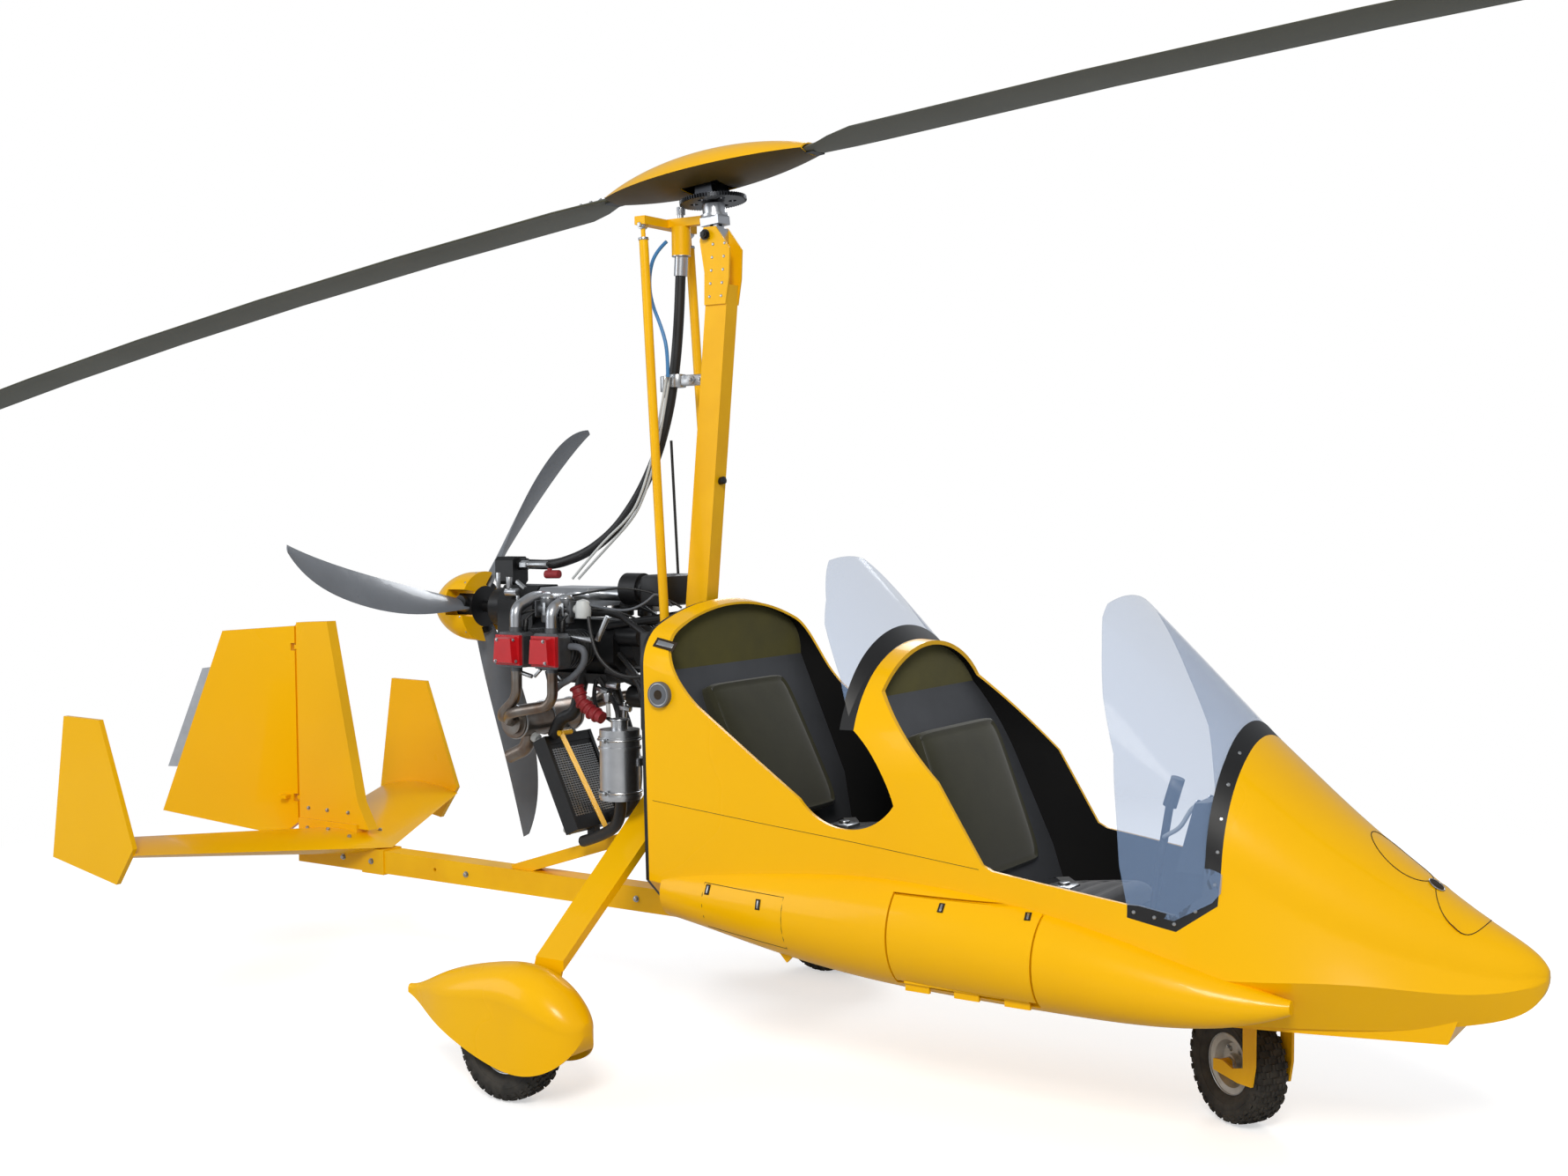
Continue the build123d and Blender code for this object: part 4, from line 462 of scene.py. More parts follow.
class GYRO_OT_stage(bpy.types.Operator):
    """Adds the pale floor, the soft studio light and the camera."""
    bl_idname = "gyro.stage"
    bl_label = "Stage"

    def execute(self, context):
        scene = context.scene
        scene.view_settings.view_transform = "Standard"
        bm = bmesh.new()
        bmesh.ops.create_grid(bm, x_segments=1, y_segments=1, size=FLOOR_SIZE)
        mesh = bpy.data.meshes.new("floor")
        bm.to_mesh(mesh)
        bm.free()
        floor = bpy.data.objects.new("floor", mesh)
        floor.location = (0, 0, -FLOOR_DROP)
        scene.collection.objects.link(floor)
        mesh.materials.append(paper_material())

        world = scene.world = blank(bpy.data.worlds.new("studio_sky"))
        fill = add_node(world, "Background", {"Color": linear("EEF2F8"), "Strength": 0.5})
        white = add_node(world, "Background", {"Color": linear("FFFFFF"), "Strength": 1.0})
        choose = add_node(world, "MixShader",
                          links={0: camera_rays(world), 1: fill.outputs[0], 2: white.outputs[0]})
        add_node(world, "OutputWorld", links={0: choose.outputs[0]})

        for name, place, aim, size, power, colour in LAMPS:
            lamp = bpy.data.lights.new(name, "AREA")
            lamp.energy, lamp.size, lamp.color = power, size, colour
            holder = bpy.data.objects.new(name, lamp)
            holder.location = place
            holder.rotation_euler = (Vector(aim) - Vector(place)).to_track_quat("-Z", "Y").to_euler()
            scene.collection.objects.link(holder)

        camera = bpy.data.cameras.new("photo_camera")
        camera.sensor_width = SENSOR_MM
        camera.lens = FOCAL_PX / PHOTO_WIDTH_PX * SENSOR_MM
        camera.clip_end = 200
        view = bpy.data.objects.new("photo_camera", camera)
        view.location = (CAMERA_X, CAMERA_Y, scene.gyro_looks.camera_height)
        turn = Matrix.Rotation(YAW, 3, "Z") @ Matrix.Rotation(math.radians(90) + PITCH, 3, "X")
        view.rotation_euler = (turn @ Matrix.Rotation(ROLL, 3, "Z")).to_euler()
        scene.collection.objects.link(view)
        scene.camera = view
        return {"FINISHED"}


# CAD nodes and their finishes
SKINS = {
    # node: finish
    "body_lower": "gloss_paint", "body_upper": "gloss_paint", "nose_underpan": "gloss_paint",
    "pod_left": "gloss_paint", "pod_right": "gloss_paint", "locker_door_left": "gloss_paint",
    # the bulkheads' olive is painted shade of the yellow paint
    "locker_door_right": "gloss_paint", "screen_trims": "black_plastic", "bulkheads": "olive_painted_shade",
    "instrument_panel": "black_plastic", "fuel_cap": "grey_nylon", "keel_tube": "tube_paint",
    "mast_tube": "tube_paint", "mast_cheek_plates": "tube_paint", "head_pivot": "machined_aluminium",
    "rotor_bearing": "machined_aluminium", "torque_bar": "tube_paint", "push_rods": "tube_paint",
    "rotor_head": "dark_steel", "hub_bar": "black_powder", "rotor_blade_front": "blade_paint",
    "rotor_blade_rear": "blade_paint", "rotor_fairing": "gloss_paint", "crankcase": "black_powder",
    "cylinders": "cast_aluminium", "valve_covers": "red_enamel", "gearbox": "black_powder",
    "intake": "machined_aluminium", "exhaust": "heat_steel", "radiator": "black_powder",
    "oil_tank": "machined_aluminium", "coolant_hoses": "hose_rubber", "flex_drive": "hose_rubber",
    "pinion_drive": "machined_aluminium", "engine_mount": "black_powder", "prop_hub": "black_powder",
    "prop_blades": "grey_gelcoat", "prop_spinner": "gloss_paint", "gear_legs": "gloss_paint",
    "wheel_pant_left": "gloss_paint", "wheel_pant_right": "gloss_paint",
    "rim_left": "rim_alloy", "rim_right": "rim_alloy",
    "rim_nose": "rim_alloy", "nose_fork": "tube_paint", "steering_head": "machined_aluminium",
    "stabiliser": "gloss_paint", "fin": "gloss_paint", "rudder": "gloss_paint",
    "trim_tab": "machined_aluminium",
    "windshield_front": "clear_screen", "windshield_rear": "clear_screen", "control_sticks": "black_plastic",
}
LININGS = {
    # node: further finishes, each with the test of the faces that take it
    "body_lower": (("black_flock", looks_inwards),),
    "body_upper": (("black_flock", looks_inwards),),
    "bulkheads": (("black_powder", lambda centre, normal: centre.x < 0.032),
                  ("shell_grey", lambda centre, normal: centre.x > 0.05 and normal.z > 0.15)),
    # the fairing's downward faces take a dark brown-olive: painted shade under the fairing
    "rotor_fairing": (("underside_painted_shade", lambda centre, normal: normal.z < -0.12),),
    "pinion_drive": (("tube_paint", lambda centre, normal: 2.455 < centre.z < 2.56),),
    "intake": (("black_plastic", lambda centre, normal: centre.x > -0.372),),
    "windshield_rear": (("black_plastic", lambda centre, normal: centre.x > 0.683),),
    "control_sticks": (("pale_plastic", lambda centre, normal: centre.y < -0.0285 and centre.x > 1.48),),
}
CUTS = {
    # node: planes (a point and a normal) that split its faces where a lining starts
    "windshield_rear": (((0.683, 0, 0), (1, 0, 0)),),
    "pinion_drive": (((0, 0, 2.455), (0, 0, 1)), ((0, 0, 2.56), (0, 0, 1))),
    "intake": (((-0.372, 0, 0), (1, 0, 0)),),
}
BODY_OF = {node: body for body, nodes in frame["record"]["behaviour"]["bodies"].items() for node in nodes}


class GYRO_OT_skins(bpy.types.Operator):
    """Gives every CAD node its finish, on a merged copy with smooth curves."""
    bl_idname = "gyro.skins"
    bl_label = "Shells and tubes"

    def execute(self, context):
        for node, finish in SKINS.items():
            smooth_copy(node, finish)
        return {"FINISHED"}


# Places on the shells

SURFACES = {}


def node_tree(node):
    """The search tree over a CAD node's faces, made once."""
    if node not in SURFACES:
        mesh = frame["nodes"][node].data
        SURFACES[node] = BVHTree.FromPolygons(
            [vert.co.copy() for vert in mesh.vertices], [tuple(face.vertices) for face in mesh.polygons])
    return SURFACES[node]


def skin_point(node, x, z, side):
    """Point and outward normal of a CAD node's side surface at x and z; side is 1 on the left, -1 right."""
    place, normal, _, _ = node_tree(node).ray_cast(Vector((x, 1.5 * side, z)), Vector((0, -side, 0)))
    if place is None:
        raise RuntimeError(f"no surface of {node} at {x:.3f}, {z:.3f}")
    return place, normal if normal.y * side > 0 else -normal


def top_point(node, x, y):
    """The point and normal of a CAD node's upper surface at x and y."""
    place, normal, _, _ = node_tree(node).ray_cast(Vector((x, y, 3.0)), Vector((0, 0, -1)))
    if place is None:
        raise RuntimeError(f"no top of {node} at {x:.3f}, {y:.3f}")
    return place, normal if normal.z > 0 else -normal


def along(points, spacing):
    """Points along straight runs, at most a spacing apart."""
    result = [points[0]]
    for start, end in zip(points, points[1:]):
        count = max(1, round(math.dist(start, end) / spacing))
        for step in range(1, count + 1):
            share = step / count
            result.append(tuple(a + (b - a) * share for a, b in zip(start, end)))
    return result


SEAM_STEP = 0.03   # spacing of a joint line's points


def seam_line(name, node, outline, side, width=0.0022):
    """A fine joint line that follows a shell's side surface through (x, z) points."""
    places = [skin_point(node, x, z, side)[0] for x, z in along(outline, SEAM_STEP)]
    tube_piece(name, places, width / 2, "seam_shadow", order=1)


def plate_on(bm, place, normal, width, height, thickness, up=UP):
    """A small rectangular plate that lies on a surface."""
    normal = Vector(normal).normalized()
    across = Vector(up).cross(normal).normalized()
    turn = Matrix((across, normal.cross(across), normal)).transposed()
    place = Vector(place) + normal * (thickness / 2)
    size = Vector((width, height, thickness))
    add_box(bm, place - size / 2, place + size / 2, 0.001, turn)


def add_latch(well_shade, bars, place, normal, well_height, bar_height):
    """A quarter-turn latch: a narrow bar on a dark plate, which is painted shade standing for its shallow
    well.
    """
    plate_on(well_shade, place, normal, 0.017, well_height, 0.0016)
    plate_on(bars, place, normal, 0.006, bar_height, 0.0026)


# Wheels

TYRE_PROFILE = [
    # distance from the middle, radius
    (0.032, 0.083), (0.041, 0.09), (0.0475, 0.104), (0.05, 0.12), (0.049, 0.134), (0.0455, 0.144),
    (0.04, 0.1505), (0.03, 0.153), (0.02, 0.154), (0.01, 0.1545), (0.0, 0.1546),
]
TREAD_STEPS = 56                    # blocks around the tyre, both rows together
TREAD_RADIUS, LUG_RADIUS = 0.1495, 0.137   # the tread and the shoulder lugs start at these radii
RIB_RADII = (0.108, 0.116)
HALF_TREAD, COLUMN_WIDTH = 0.05, 0.0101


def tyre(name, node, body, centre, axle, depth):
    """A tyre with two rows of staggered blocks, shoulder lugs and ribs on its sidewalls."""
    bm = bmesh.new()
    profile = TYRE_PROFILE + [(-along_axle, radius) for along_axle, radius in reversed(TYRE_PROFILE[:-1])]
    profile += [(-0.026, 0.0825), (0.026, 0.0825)]
    add_lathe(bm, profile, centre, axle, TREAD_STEPS)
    bmesh.ops.remove_doubles(bm, verts=bm.verts, dist=1e-6)
    bmesh.ops.recalc_face_normals(bm, faces=bm.faces)
    axle = Vector(axle).normalized()
    side = axle.orthogonal().normalized()
    rise = axle.cross(side)
    blocks, ribs = [], []
    for face in bm.faces:
        out = face.calc_center_median() - Vector(centre)
        reach = out.dot(axle)
        radius = (out - axle * reach).length
        turn = math.atan2(out.dot(rise), out.dot(side)) / math.tau * TREAD_STEPS
        column = int((reach + HALF_TREAD) / COLUMN_WIDTH)
        index = math.floor(turn)
        if radius > TREAD_RADIUS and (index + column // 2) % 2 == 0:
            blocks.append(face)
        elif LUG_RADIUS < radius <= TREAD_RADIUS and index % 2 == (0 if reach > 0 else 1):
            blocks.append(face)
        elif RIB_RADII[0] < radius < RIB_RADII[1]:
            ribs.append(face)
    bmesh.ops.inset_individual(bm, faces=blocks, thickness=0.0009, depth=0.0)
    bmesh.ops.inset_individual(bm, faces=blocks, thickness=0.0007, depth=depth)
    bmesh.ops.inset_region(bm, faces=ribs, thickness=0.001, depth=0.0012)
    piece = new_object(name, bm, "tyre_rubber", body, 28.0)
    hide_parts(node)


def wheel_fittings(name, body, centre, axle):
    """Rim flange bolts, hub caps and the valve of one wheel."""
    bm = bmesh.new()
    centre, axle = Vector(centre), Vector(axle).normalized()
    side = axle.orthogonal().normalized()
    rise = axle.cross(side)
    for face in (1, -1):
        for step in range(6):
            angle = math.tau * (step + 0.5) / 6
            spoke = side * math.cos(angle) + rise * math.sin(angle)
            add_bolt(bm, centre + spoke * 0.047 + axle * face * 0.0095, axle * face, 0.0052, 0.004)
        add_ring(bm, centre + axle * face * 0.0325, axle, 0.0815, 0.0022, 56, 8)
        add_rod(bm, centre + axle * face * 0.024, centre + axle * face * 0.03, 0.02, 28, 0.017)
    spoke = side * math.cos(0.5) + rise * math.sin(0.5)
    add_rod(bm, centre + spoke * 0.066 + axle * 0.02, centre + spoke * 0.06 + axle * 0.044, 0.0032, 12)
    new_object(name, bm, "zinc_plate", body, 40.0)


WHEELS = (
    # name, body, centre, axle
    ("left", "main_wheel_left", MAIN_WHEEL, ACROSS),
    ("right", "main_wheel_right", Vector((MAIN_WHEEL.x, -MAIN_WHEEL.y, MAIN_WHEEL.z)), ACROSS),
    ("nose", "nose_wheel", STEER_AXIS + NOSE_TURN @ Vector((-NOSE_TRAIL, 0, WHEEL_HEIGHT)),
     NOSE_TURN @ ACROSS),
)


class GYRO_OT_wheels(bpy.types.Operator):
    """Makes the treaded tyres and the fittings of the rims."""
    bl_idname = "gyro.wheels"
    bl_label = "Wheels"

    def execute(self, context):
        depth = context.scene.gyro_looks.tread_depth
        for name, body, centre, axle in WHEELS:
            tyre(f"tyre_{name}_tread", f"tyre_{name}", body, centre, axle, depth)
            wheel_fittings(f"wheel_fittings_{name}", body, centre, axle)
        return {"FINISHED"}


# Shell fittings

# (x, z) points on the side surfaces
SCREEN_SCREWS = ((1.547, 0.637), (1.6, 0.629), (1.65, 0.617), (1.7, 0.652), (1.742, 0.72), (1.746, 0.8),
                 (1.748, 0.88), (1.749, 0.96), (1.749, 1.03))
LOCKER_LATCHES = ((1.032, 0.6), (1.271, 0.6))
REAR_PANEL = ((0.245, 0.579), (0.535, 0.573), (0.533, 0.424), (0.245, 0.448), (0.245, 0.579))
REAR_LATCHES = ((0.262, 0.562), (0.451, 0.544))
SHELL_SEAM = ((0.05, 0.8005), (1.12, 0.7035))
NOSE_COVER = (2.262, 0.062, 0.1)   # centre x, half length and half width of the cover plate on the nose
NOSE_BRIDGE = (2.212, 2.312)       # the plate's height is carried over from the shell outside these stations
NOSE_HATCH = (2.113, 0.074)        # centre x and radius of the round hatch's joint line
NOSE_PORT = (2.2, -0.014)          # x and y of the small round port
SIDE_VENT = (0.09, 1.262)          # x and z of the vent on the right seat arch
VENT_UP = (0.2, 0, 1)


def nose_height(x, y):
    """Height of the nose shell, carried smoothly over the stretch under the cover plate."""
    low, high = NOSE_BRIDGE
    if not low < x < high:
        return top_point("body_lower", x, y)[0].z
    run_on = []
    for station, step in ((low, -0.012), (high, 0.012)):
        near = top_point("body_lower", station, y)[0].z
        slope = (top_point("body_lower", station + step, y)[0].z - near) / step
        run_on.append(near + slope * (x - station))
    share = smoothstep(low, high, x)
    return run_on[0] * (1 - share) + run_on[1] * share


def nose_cover():
    """The cover plate on top of the nose: a thin oval that lies on the shell, with its joint line."""
    middle, half_length, half_width = NOSE_COVER
    rings, steps = 8, 48
    bm = bmesh.new()
    rows = []
    for ring in range(1, rings + 1):
        reach = ring / rings
        row = []
        for step in range(steps):
            angle = math.tau * step / steps
            x = middle + half_length * reach * math.cos(angle)
            y = half_width * reach * math.sin(angle)
            row.append(bm.verts.new((x, y, nose_height(x, y) + 0.0012)))
        rows.append(row)
    centre = bm.verts.new((middle, 0, nose_height(middle, 0) + 0.0012))
    for step in range(steps):
        bm.faces.new((centre, rows[0][step], rows[0][(step + 1) % steps]))
        for inner, outer in zip(rows, rows[1:]):
            ahead = (step + 1) % steps
            bm.faces.new((inner[step], outer[step], outer[ahead], inner[ahead]))
    edge = [vert.co + Vector((0, 0, -0.0006)) for vert in rows[-1]]
    bmesh.ops.recalc_face_normals(bm, faces=bm.faces)
    bmesh.ops.solidify(bm, geom=bm.faces[:], thickness=0.0016)
    new_object("nose_cover", bm, "gloss_paint")
    tube_piece("nose_cover_seam", edge + edge[:1], 0.0011, "seam_shadow", order=2)
    middle, radius = NOSE_HATCH
    circle = []
    for step in range(steps + 1):
        angle = math.tau * step / steps
        x, y = middle + radius * math.cos(angle), radius * math.sin(angle)
        circle.append(Vector((x, y, nose_height(x, y) + 0.0002)))
    tube_piece("nose_hatch_seam", circle, 0.0014, "seam_shadow", order=2)


class GYRO_OT_shell_fittings(bpy.types.Operator):
    """Adds the screws, latches, joint lines, filler cap, vents and hatch of the body."""
    bl_idname = "gyro.shell_fittings"
    bl_label = "Shell fittings"

    def execute(self, context):
        # dark pieces laid on the shells are painted shade of wells, holes and openings
        screws, latches, hollow_shade = bmesh.new(), bmesh.new(), bmesh.new()
        for side, label in SIDES:
            for x, z in SCREEN_SCREWS:
                add_screw(screws, *skin_point("screen_trims", x, z, side), 0.0052)
            for x, z in REAR_LATCHES:
                add_latch(hollow_shade, latches, *skin_point(f"pod_{label}", x, z, side), 0.03, 0.022)
            seam_line(f"rear_panel_seam_{label}", f"pod_{label}", REAR_PANEL, side)
            seam_line(f"shell_seam_{label}_rear", "body_upper", SHELL_SEAM, side, width=0.0016)
        nose_cover()
        # the dark disc in the nose port is painted shade of the hole
        place, normal = top_point("body_lower", *NOSE_PORT)
        add_rod(hollow_shade, place + normal * 0.0004, place + normal * 0.003, 0.02, 32, bevel=0.0006)
        add_ring(screws, place + normal * 0.0026, normal, 0.0212, 0.0016, 40, 8)
        place, normal = skin_point("body_upper", *SIDE_VENT, -1)
        # the dark plate under the vent's slat is painted shade of the vent's opening
        plate_on(hollow_shade, place, normal, 0.075, 0.032, 0.0022, VENT_UP)
        plate_on(latches, place, normal, 0.058, 0.016, 0.0032, VENT_UP)
        low, high = (Vector(corner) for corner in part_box("fuel_cap"))
        cap = Vector(((low.x + high.x) / 2, low.y, (low.z + high.z) / 2))
        add_ring(screws, cap + ACROSS * 0.0012, ACROSS, (high.z - low.z) / 2 - 0.006, 0.0024, 48, 8)
        # the dark disc inside the filler cap's ring is painted shade of its recess
        add_rod(hollow_shade, cap + ACROSS * 0.001, cap - ACROSS * 0.0014, 0.014, 28)
        new_object("screen_screws", screws)
        new_object("panel_painted_hollow_shade", hollow_shade, "seam_shadow")
        new_object("panel_latch_bars", latches)
        for side, label in SIDES:
            lid = f"locker_lid_{label}"
            well_shade, bars = bmesh.new(), bmesh.new()
            for x, z in LOCKER_LATCHES:
                add_latch(well_shade, bars, *skin_point(f"locker_door_{label}", x, z, side), 0.028, 0.021)
            # the dark plates under the locker latches are painted shade of their wells
            new_object(f"locker_latch_well_shade_{label}", well_shade, "seam_shadow", lid)
            new_object(f"locker_latch_bars_{label}", bars, body=lid)
        return {"FINISHED"}


# Seats and cockpits

PAD_THICKNESS = 0.055


def pad(name, centre, across, run, width, border, recess, pleats=0, finish="seat_fabric", narrow=0.0):
    """A crowned seat pad: soft edges, a sewn border, an optional sunk panel and sewn pleats."""
    length, ahead = run.length, run.normalized()
    out = across.cross(ahead).normalized()
    bm = bmesh.new()
    bmesh.ops.create_cube(bm, size=2.0)
    bmesh.ops.subdivide_edges(bm, edges=bm.edges[:], cuts=47, use_grid_fill=True)
    for vert in bm.verts:
        u, v, w = vert.co
        edge = (1 - abs(u) ** 7) ** 0.5 * (1 - abs(v) ** 9) ** 0.5 if max(abs(u), abs(v)) < 1 else 0.0
        plan_u = u * (1 - 0.05 * abs(v) ** 8) * (1 - narrow * (v + 1) / 2)
        plan_v = v * (1 - 0.03 * abs(u) ** 8)
        inside = min(width / 2 * (1 - abs(u)), length / 2 * (1 - abs(v)))
        height = PAD_THICKNESS * (0.45 + 0.55 * edge) * max(w, -0.35) * (0.5 if w < 0 else 1.0)
        if w > 0.5:
            stitch = math.exp(-((inside - border) / 0.0045) ** 2) * 0.008
            sunk = smoothstep(border - 0.006, border + 0.01, inside)
            crown = (1 - u * u) * (1 - v * v) * 0.012
            groove = 0.0
            if pleats:
                phase = (v + 1) / 2 * pleats
                groove = (1 - abs(math.sin(math.pi * phase)) ** 0.45) * 0.01 * sunk
            height += crown - stitch - recess * sunk - groove
        vert.co = centre + across * plan_u * width / 2 + ahead * plan_v * length / 2 + out * height
    piece = new_object(name, bm, finish, smooth=60.0)
    return piece


def strap(name, points, width):
    """A flat webbing strap that lies along points, with its flat side upwards."""
    bm = bmesh.new()
    rows = []
    places = [Vector(point) for point in along(points, 0.02)]
    for index, place in enumerate(places):
        ahead = places[min(index + 1, len(places) - 1)] - places[max(index - 1, 0)]
        side = ahead.cross(UP).normalized() * width / 2
        rows.append((bm.verts.new(place - side), bm.verts.new(place + side)))
    for (a, b), (c, d) in zip(rows, rows[1:]):
        bm.faces.new((a, b, d, c))
    bmesh.ops.solidify(bm, geom=bm.faces[:], thickness=STRAP_THICKNESS)
    new_object(name, bm, "harness_webbing", smooth=40.0)


STRAP_WIDTH, STRAP_THICKNESS = 0.04, 0.0022
CUSHION_WIDTH = 0.4
BACK_SINK, CUSHION_SINK = 0.05, 0.045   # the pads' middles lie this far behind their front surfaces
SEATS = (
    # name, node, back: top and foot (x, z) of its front surface, cushion: rear and front (x, z), back's width
    ("front", "seat_front", (0.868, 1.04), (1.02, 0.62), (1.07, 0.56), (1.38, 0.6), 0.5),
    ("rear", "seat_rear", (0.13, 1.14), (0.33, 0.735), (0.35, 0.668), (0.635, 0.696), 0.44),
)
LAP_BELT = ((-0.01, 0.185, 0.012), (0.045, 0.15, 0.03), (0.1, 0.08, 0.033), (0.12, 0.03, 0.034))
BUCKLE = Vector((0.12, 0, 0.034))
BUCKLE_HALF = Vector((0.035, 0.036, 0.01))


class GYRO_OT_seats(bpy.types.Operator):
    """Upholsters both seats and lays their lap belts."""
    bl_idname = "gyro.seats"
    bl_label = "Seats"

    def execute(self, context):
        for name, node, *corners, back_width in SEATS:
            head, foot, rear, front = (Vector((x, 0, z)) for x, z in corners)
            rise = head - foot
            out = rise.cross(ACROSS).normalized()
            out = out if out.x > 0 else -out
            back = pad(f"seat_back_{name}", (head + foot) / 2 - out * BACK_SINK, ACROSS, rise, back_width,
                       border=0.016, recess=0.012, finish="olive_fabric", narrow=0.04)
            base = pad(f"seat_cushion_{name}", (rear + front) / 2 - UP * CUSHION_SINK, -ACROSS, front - rear,
                       CUSHION_WIDTH, border=0.045, recess=0.004, pleats=5)
            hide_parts(node)
            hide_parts(node)
            for side, label in SIDES:
                lap = [rear + Vector((x, side * y, z)) for x, y, z in LAP_BELT]
                strap(f"harness_{name}_{label}", lap, STRAP_WIDTH)
            bm = bmesh.new()
            place = rear + BUCKLE
            add_box(bm, place - BUCKLE_HALF, place + BUCKLE_HALF, 0.006)
            add_rod(bm, place, place + UP * 0.017, 0.017, 24, bevel=0.002)
            new_object(f"harness_buckle_{name}", bm)
        return {"FINISHED"}


DIALS = (
    # y, z, radius
    (-0.13, 0.86, 0.034), (-0.04, 0.86, 0.034), (0.05, 0.86, 0.034), (0.14, 0.86, 0.034),
    (-0.13, 0.78, 0.026), (-0.05, 0.78, 0.026), (0.04, 0.78, 0.026), (0.12, 0.78, 0.026),
)
PANEL_FOOT_X, PANEL_FOOT_Z, PANEL_LEAN = 1.6, 0.72, 0.278   # the panel's face: x grows with z by its lean
PANEL_NORMAL = Vector((-0.96, 0, -0.27)).normalized()


class GYRO_OT_cockpit(bpy.types.Operator):
    """Adds the panel's blank dials and their bezels."""
    bl_idname = "gyro.cockpit"
    bl_label = "Cockpit"

    def execute(self, context):
        bezels, faces = bmesh.new(), bmesh.new()
        for y, z, radius in DIALS:
            place = Vector((PANEL_FOOT_X + (z - PANEL_FOOT_Z) * PANEL_LEAN - 0.001, y, z))
            add_ring(bezels, place, PANEL_NORMAL, radius, 0.0035, 40, 8)
            add_rod(faces, place - PANEL_NORMAL * 0.001, place + PANEL_NORMAL * 0.0012, radius, 40)
        new_object("panel_bezels", bezels)
        new_object("panel_dials", faces, "dial_face")
        return {"FINISHED"}


ENGINE_RODS = {
    # finish: start, end and radius in mm and sides of the sensors, unions and stays around the engine
    "zinc_plate": (
        ((-759, -20, 1477), (-673, -20, 1478), 11, 16), ((-790, -20, 1476), (-759, -20, 1477), 15, 6),
        ((-831, -90, 1399), (-830, -90, 1452), 8, 6), ((-783, -90, 1438), (-784, -90, 1399), 10, 12),
        ((-748, -90, 1424), (-713, -90, 1401), 8, 6), ((-736, -100, 1377), (-737, -100, 1342), 6, 6),
        ((-436, -220, 1260), (-317, -220, 1250), 9, 16), ((-299, -220, 1251), (-256, -220, 1327), 9, 16),
        ((-333, -130, 1077), (-334, -130, 1046), 16, 24), ((-377, -130, 1089), (-333, -130, 1077), 9, 6),
        ((-299, -120, 1033), (-249, -120, 1027), 10, 6), ((-274, -120, 1049), (-275, -120, 995), 8, 12),
        ((-465, -220, 1135), (-436, -220, 1114), 6, 6), ((-598, -250, 1141), (-546, -250, 1129), 7, 12),
        ((-535, -250, 1129), (-508, -250, 1153), 6, 6),
    ),
    "machined_aluminium": (
        ((-796, -90, 1387), (-745, -90, 1388), 13, 20), ((-333, -130, 1103), (-290, -130, 1099), 12, 20),
    ),
    "pale_plastic": (
        ((-436, -160, 1067), (-389, -160, 1055), 10, 20), ((-334, -130, 1046), (-331, -130, 999), 7, 12),
    ),
    "red_silicone": (
        ((-655, -50, 1447), (-598, -50, 1448), 14, 24), ((-639, -50, 1467), (-640, -50, 1447), 8, 16),
    ),
}
ENGINE_LINES = (
    # name, finish, then radius and points in mm
    ("throttle_cable", "grey_nylon", 4, ((-397, -200, 1369), (-301, -190, 1351), (-218, -170, 1341),
     (-172, -130, 1368), (-150, -100, 1406), (-118, -70, 1355))),
    ("choke_cable", "black_plastic", 3.5, ((-432, -180, 1387), (-295, -170, 1412), (-229, -120, 1411),
     (-148, -80, 1388), (-95, -50, 1349))),
    ("breather_hose", "grey_nylon", 11, ((-394, -240, 1229), (-340, -240, 1234), (-339, -230, 1181),
     (-402, -220, 1127), (-485, -210, 1094), (-524, -200, 1046))),
    ("oil_line_upper", "hose_rubber", 9, ((-243, -190, 999), (-251, -180, 1033), (-327, -120, 1060),
     (-385, -110, 1118))),
    ("oil_line_lower", "hose_rubber", 19, ((-229, -200, 768), (-242, -180, 700), (-319, -140, 628),
     (-478, -90, 579))),
    ("loom_upper", "black_plastic", 10, ((-655, -95, 1315), (-560, -115, 1330), (-420, -115, 1325),
     (-300, -115, 1330), (-200, -170, 1300), (-60, -200, 1240))),
    ("loom_lower", "black_plastic", 8, ((-300, -112, 1200), (-220, -150, 1160), (-140, -190, 1110),
     (-60, -180, 1080))),
    ("water_hose", "hose_rubber", 15, ((-260, -112, 1150), (-200, -130, 1120), (-170, -150, 1060),
     (-100, -220, 1060), (-45, -240, 1090))),
    ("fuel_hose", "hose_rubber", 6, ((-325, -230, 1325), (-296, -250, 1231), (-242, -240, 1164),
     (-182, -220, 1137), (-142, -200, 1143))),
    ("drain_hose", "hose_rubber", 7, ((-430, -70, 1105), (-420, -110, 1040), (-340, -130, 990),
     (-235, -130, 960))),
)
HEAD_X = (-0.607, -0.453)                     # stations of the cylinder heads
RADIATOR_TOP, RADIATOR_FOOT = Vector((-0.664, 0, 0.905)), Vector((-0.528, 0, 0.612))
RADIATOR_MIDDLE = Vector((-0.57, 0, 0.7575))
CARB_X, CARB_Y, CARB_Z = (-0.515, -0.44), 0.2, 1.345
CARB_POSTS = (
    # heights above the axis: low, high, radius, sides, bevel: float bowl, its nut and the piston's housing
    (-0.045, -0.01, 0.024, 32, 0.004), (-0.055, -0.045, 0.007, 6, 0.0), (0.007, 0.033, 0.026, 32, 0.003),
)
# distance along the axis, radius
FILTER_PROFILE = ((0.0, 0.0), (0.0, 0.023), (0.004, 0.025), (0.04, 0.025), (0.054, 0.019), (0.061, 0.0))
LEAD_END = (-0.275, 0.06, 1.312)              # the plug leads meet here, on either side
BELLOWS_ROUTE = ((-427, -170, 1091), (-406, -170, 1046), (-370, -170, 1017), (-324, -170, 1000))   # mm
OIL_TANK = (-0.15, -0.3)                      # x and y of the tank's axis


def add_lines(lines):
    """Adds a table's hoses, cables and pipes."""
    for name, finish, radius, points in lines:
        tube_piece(name, [metres(point) for point in points], radius / 1000, finish)


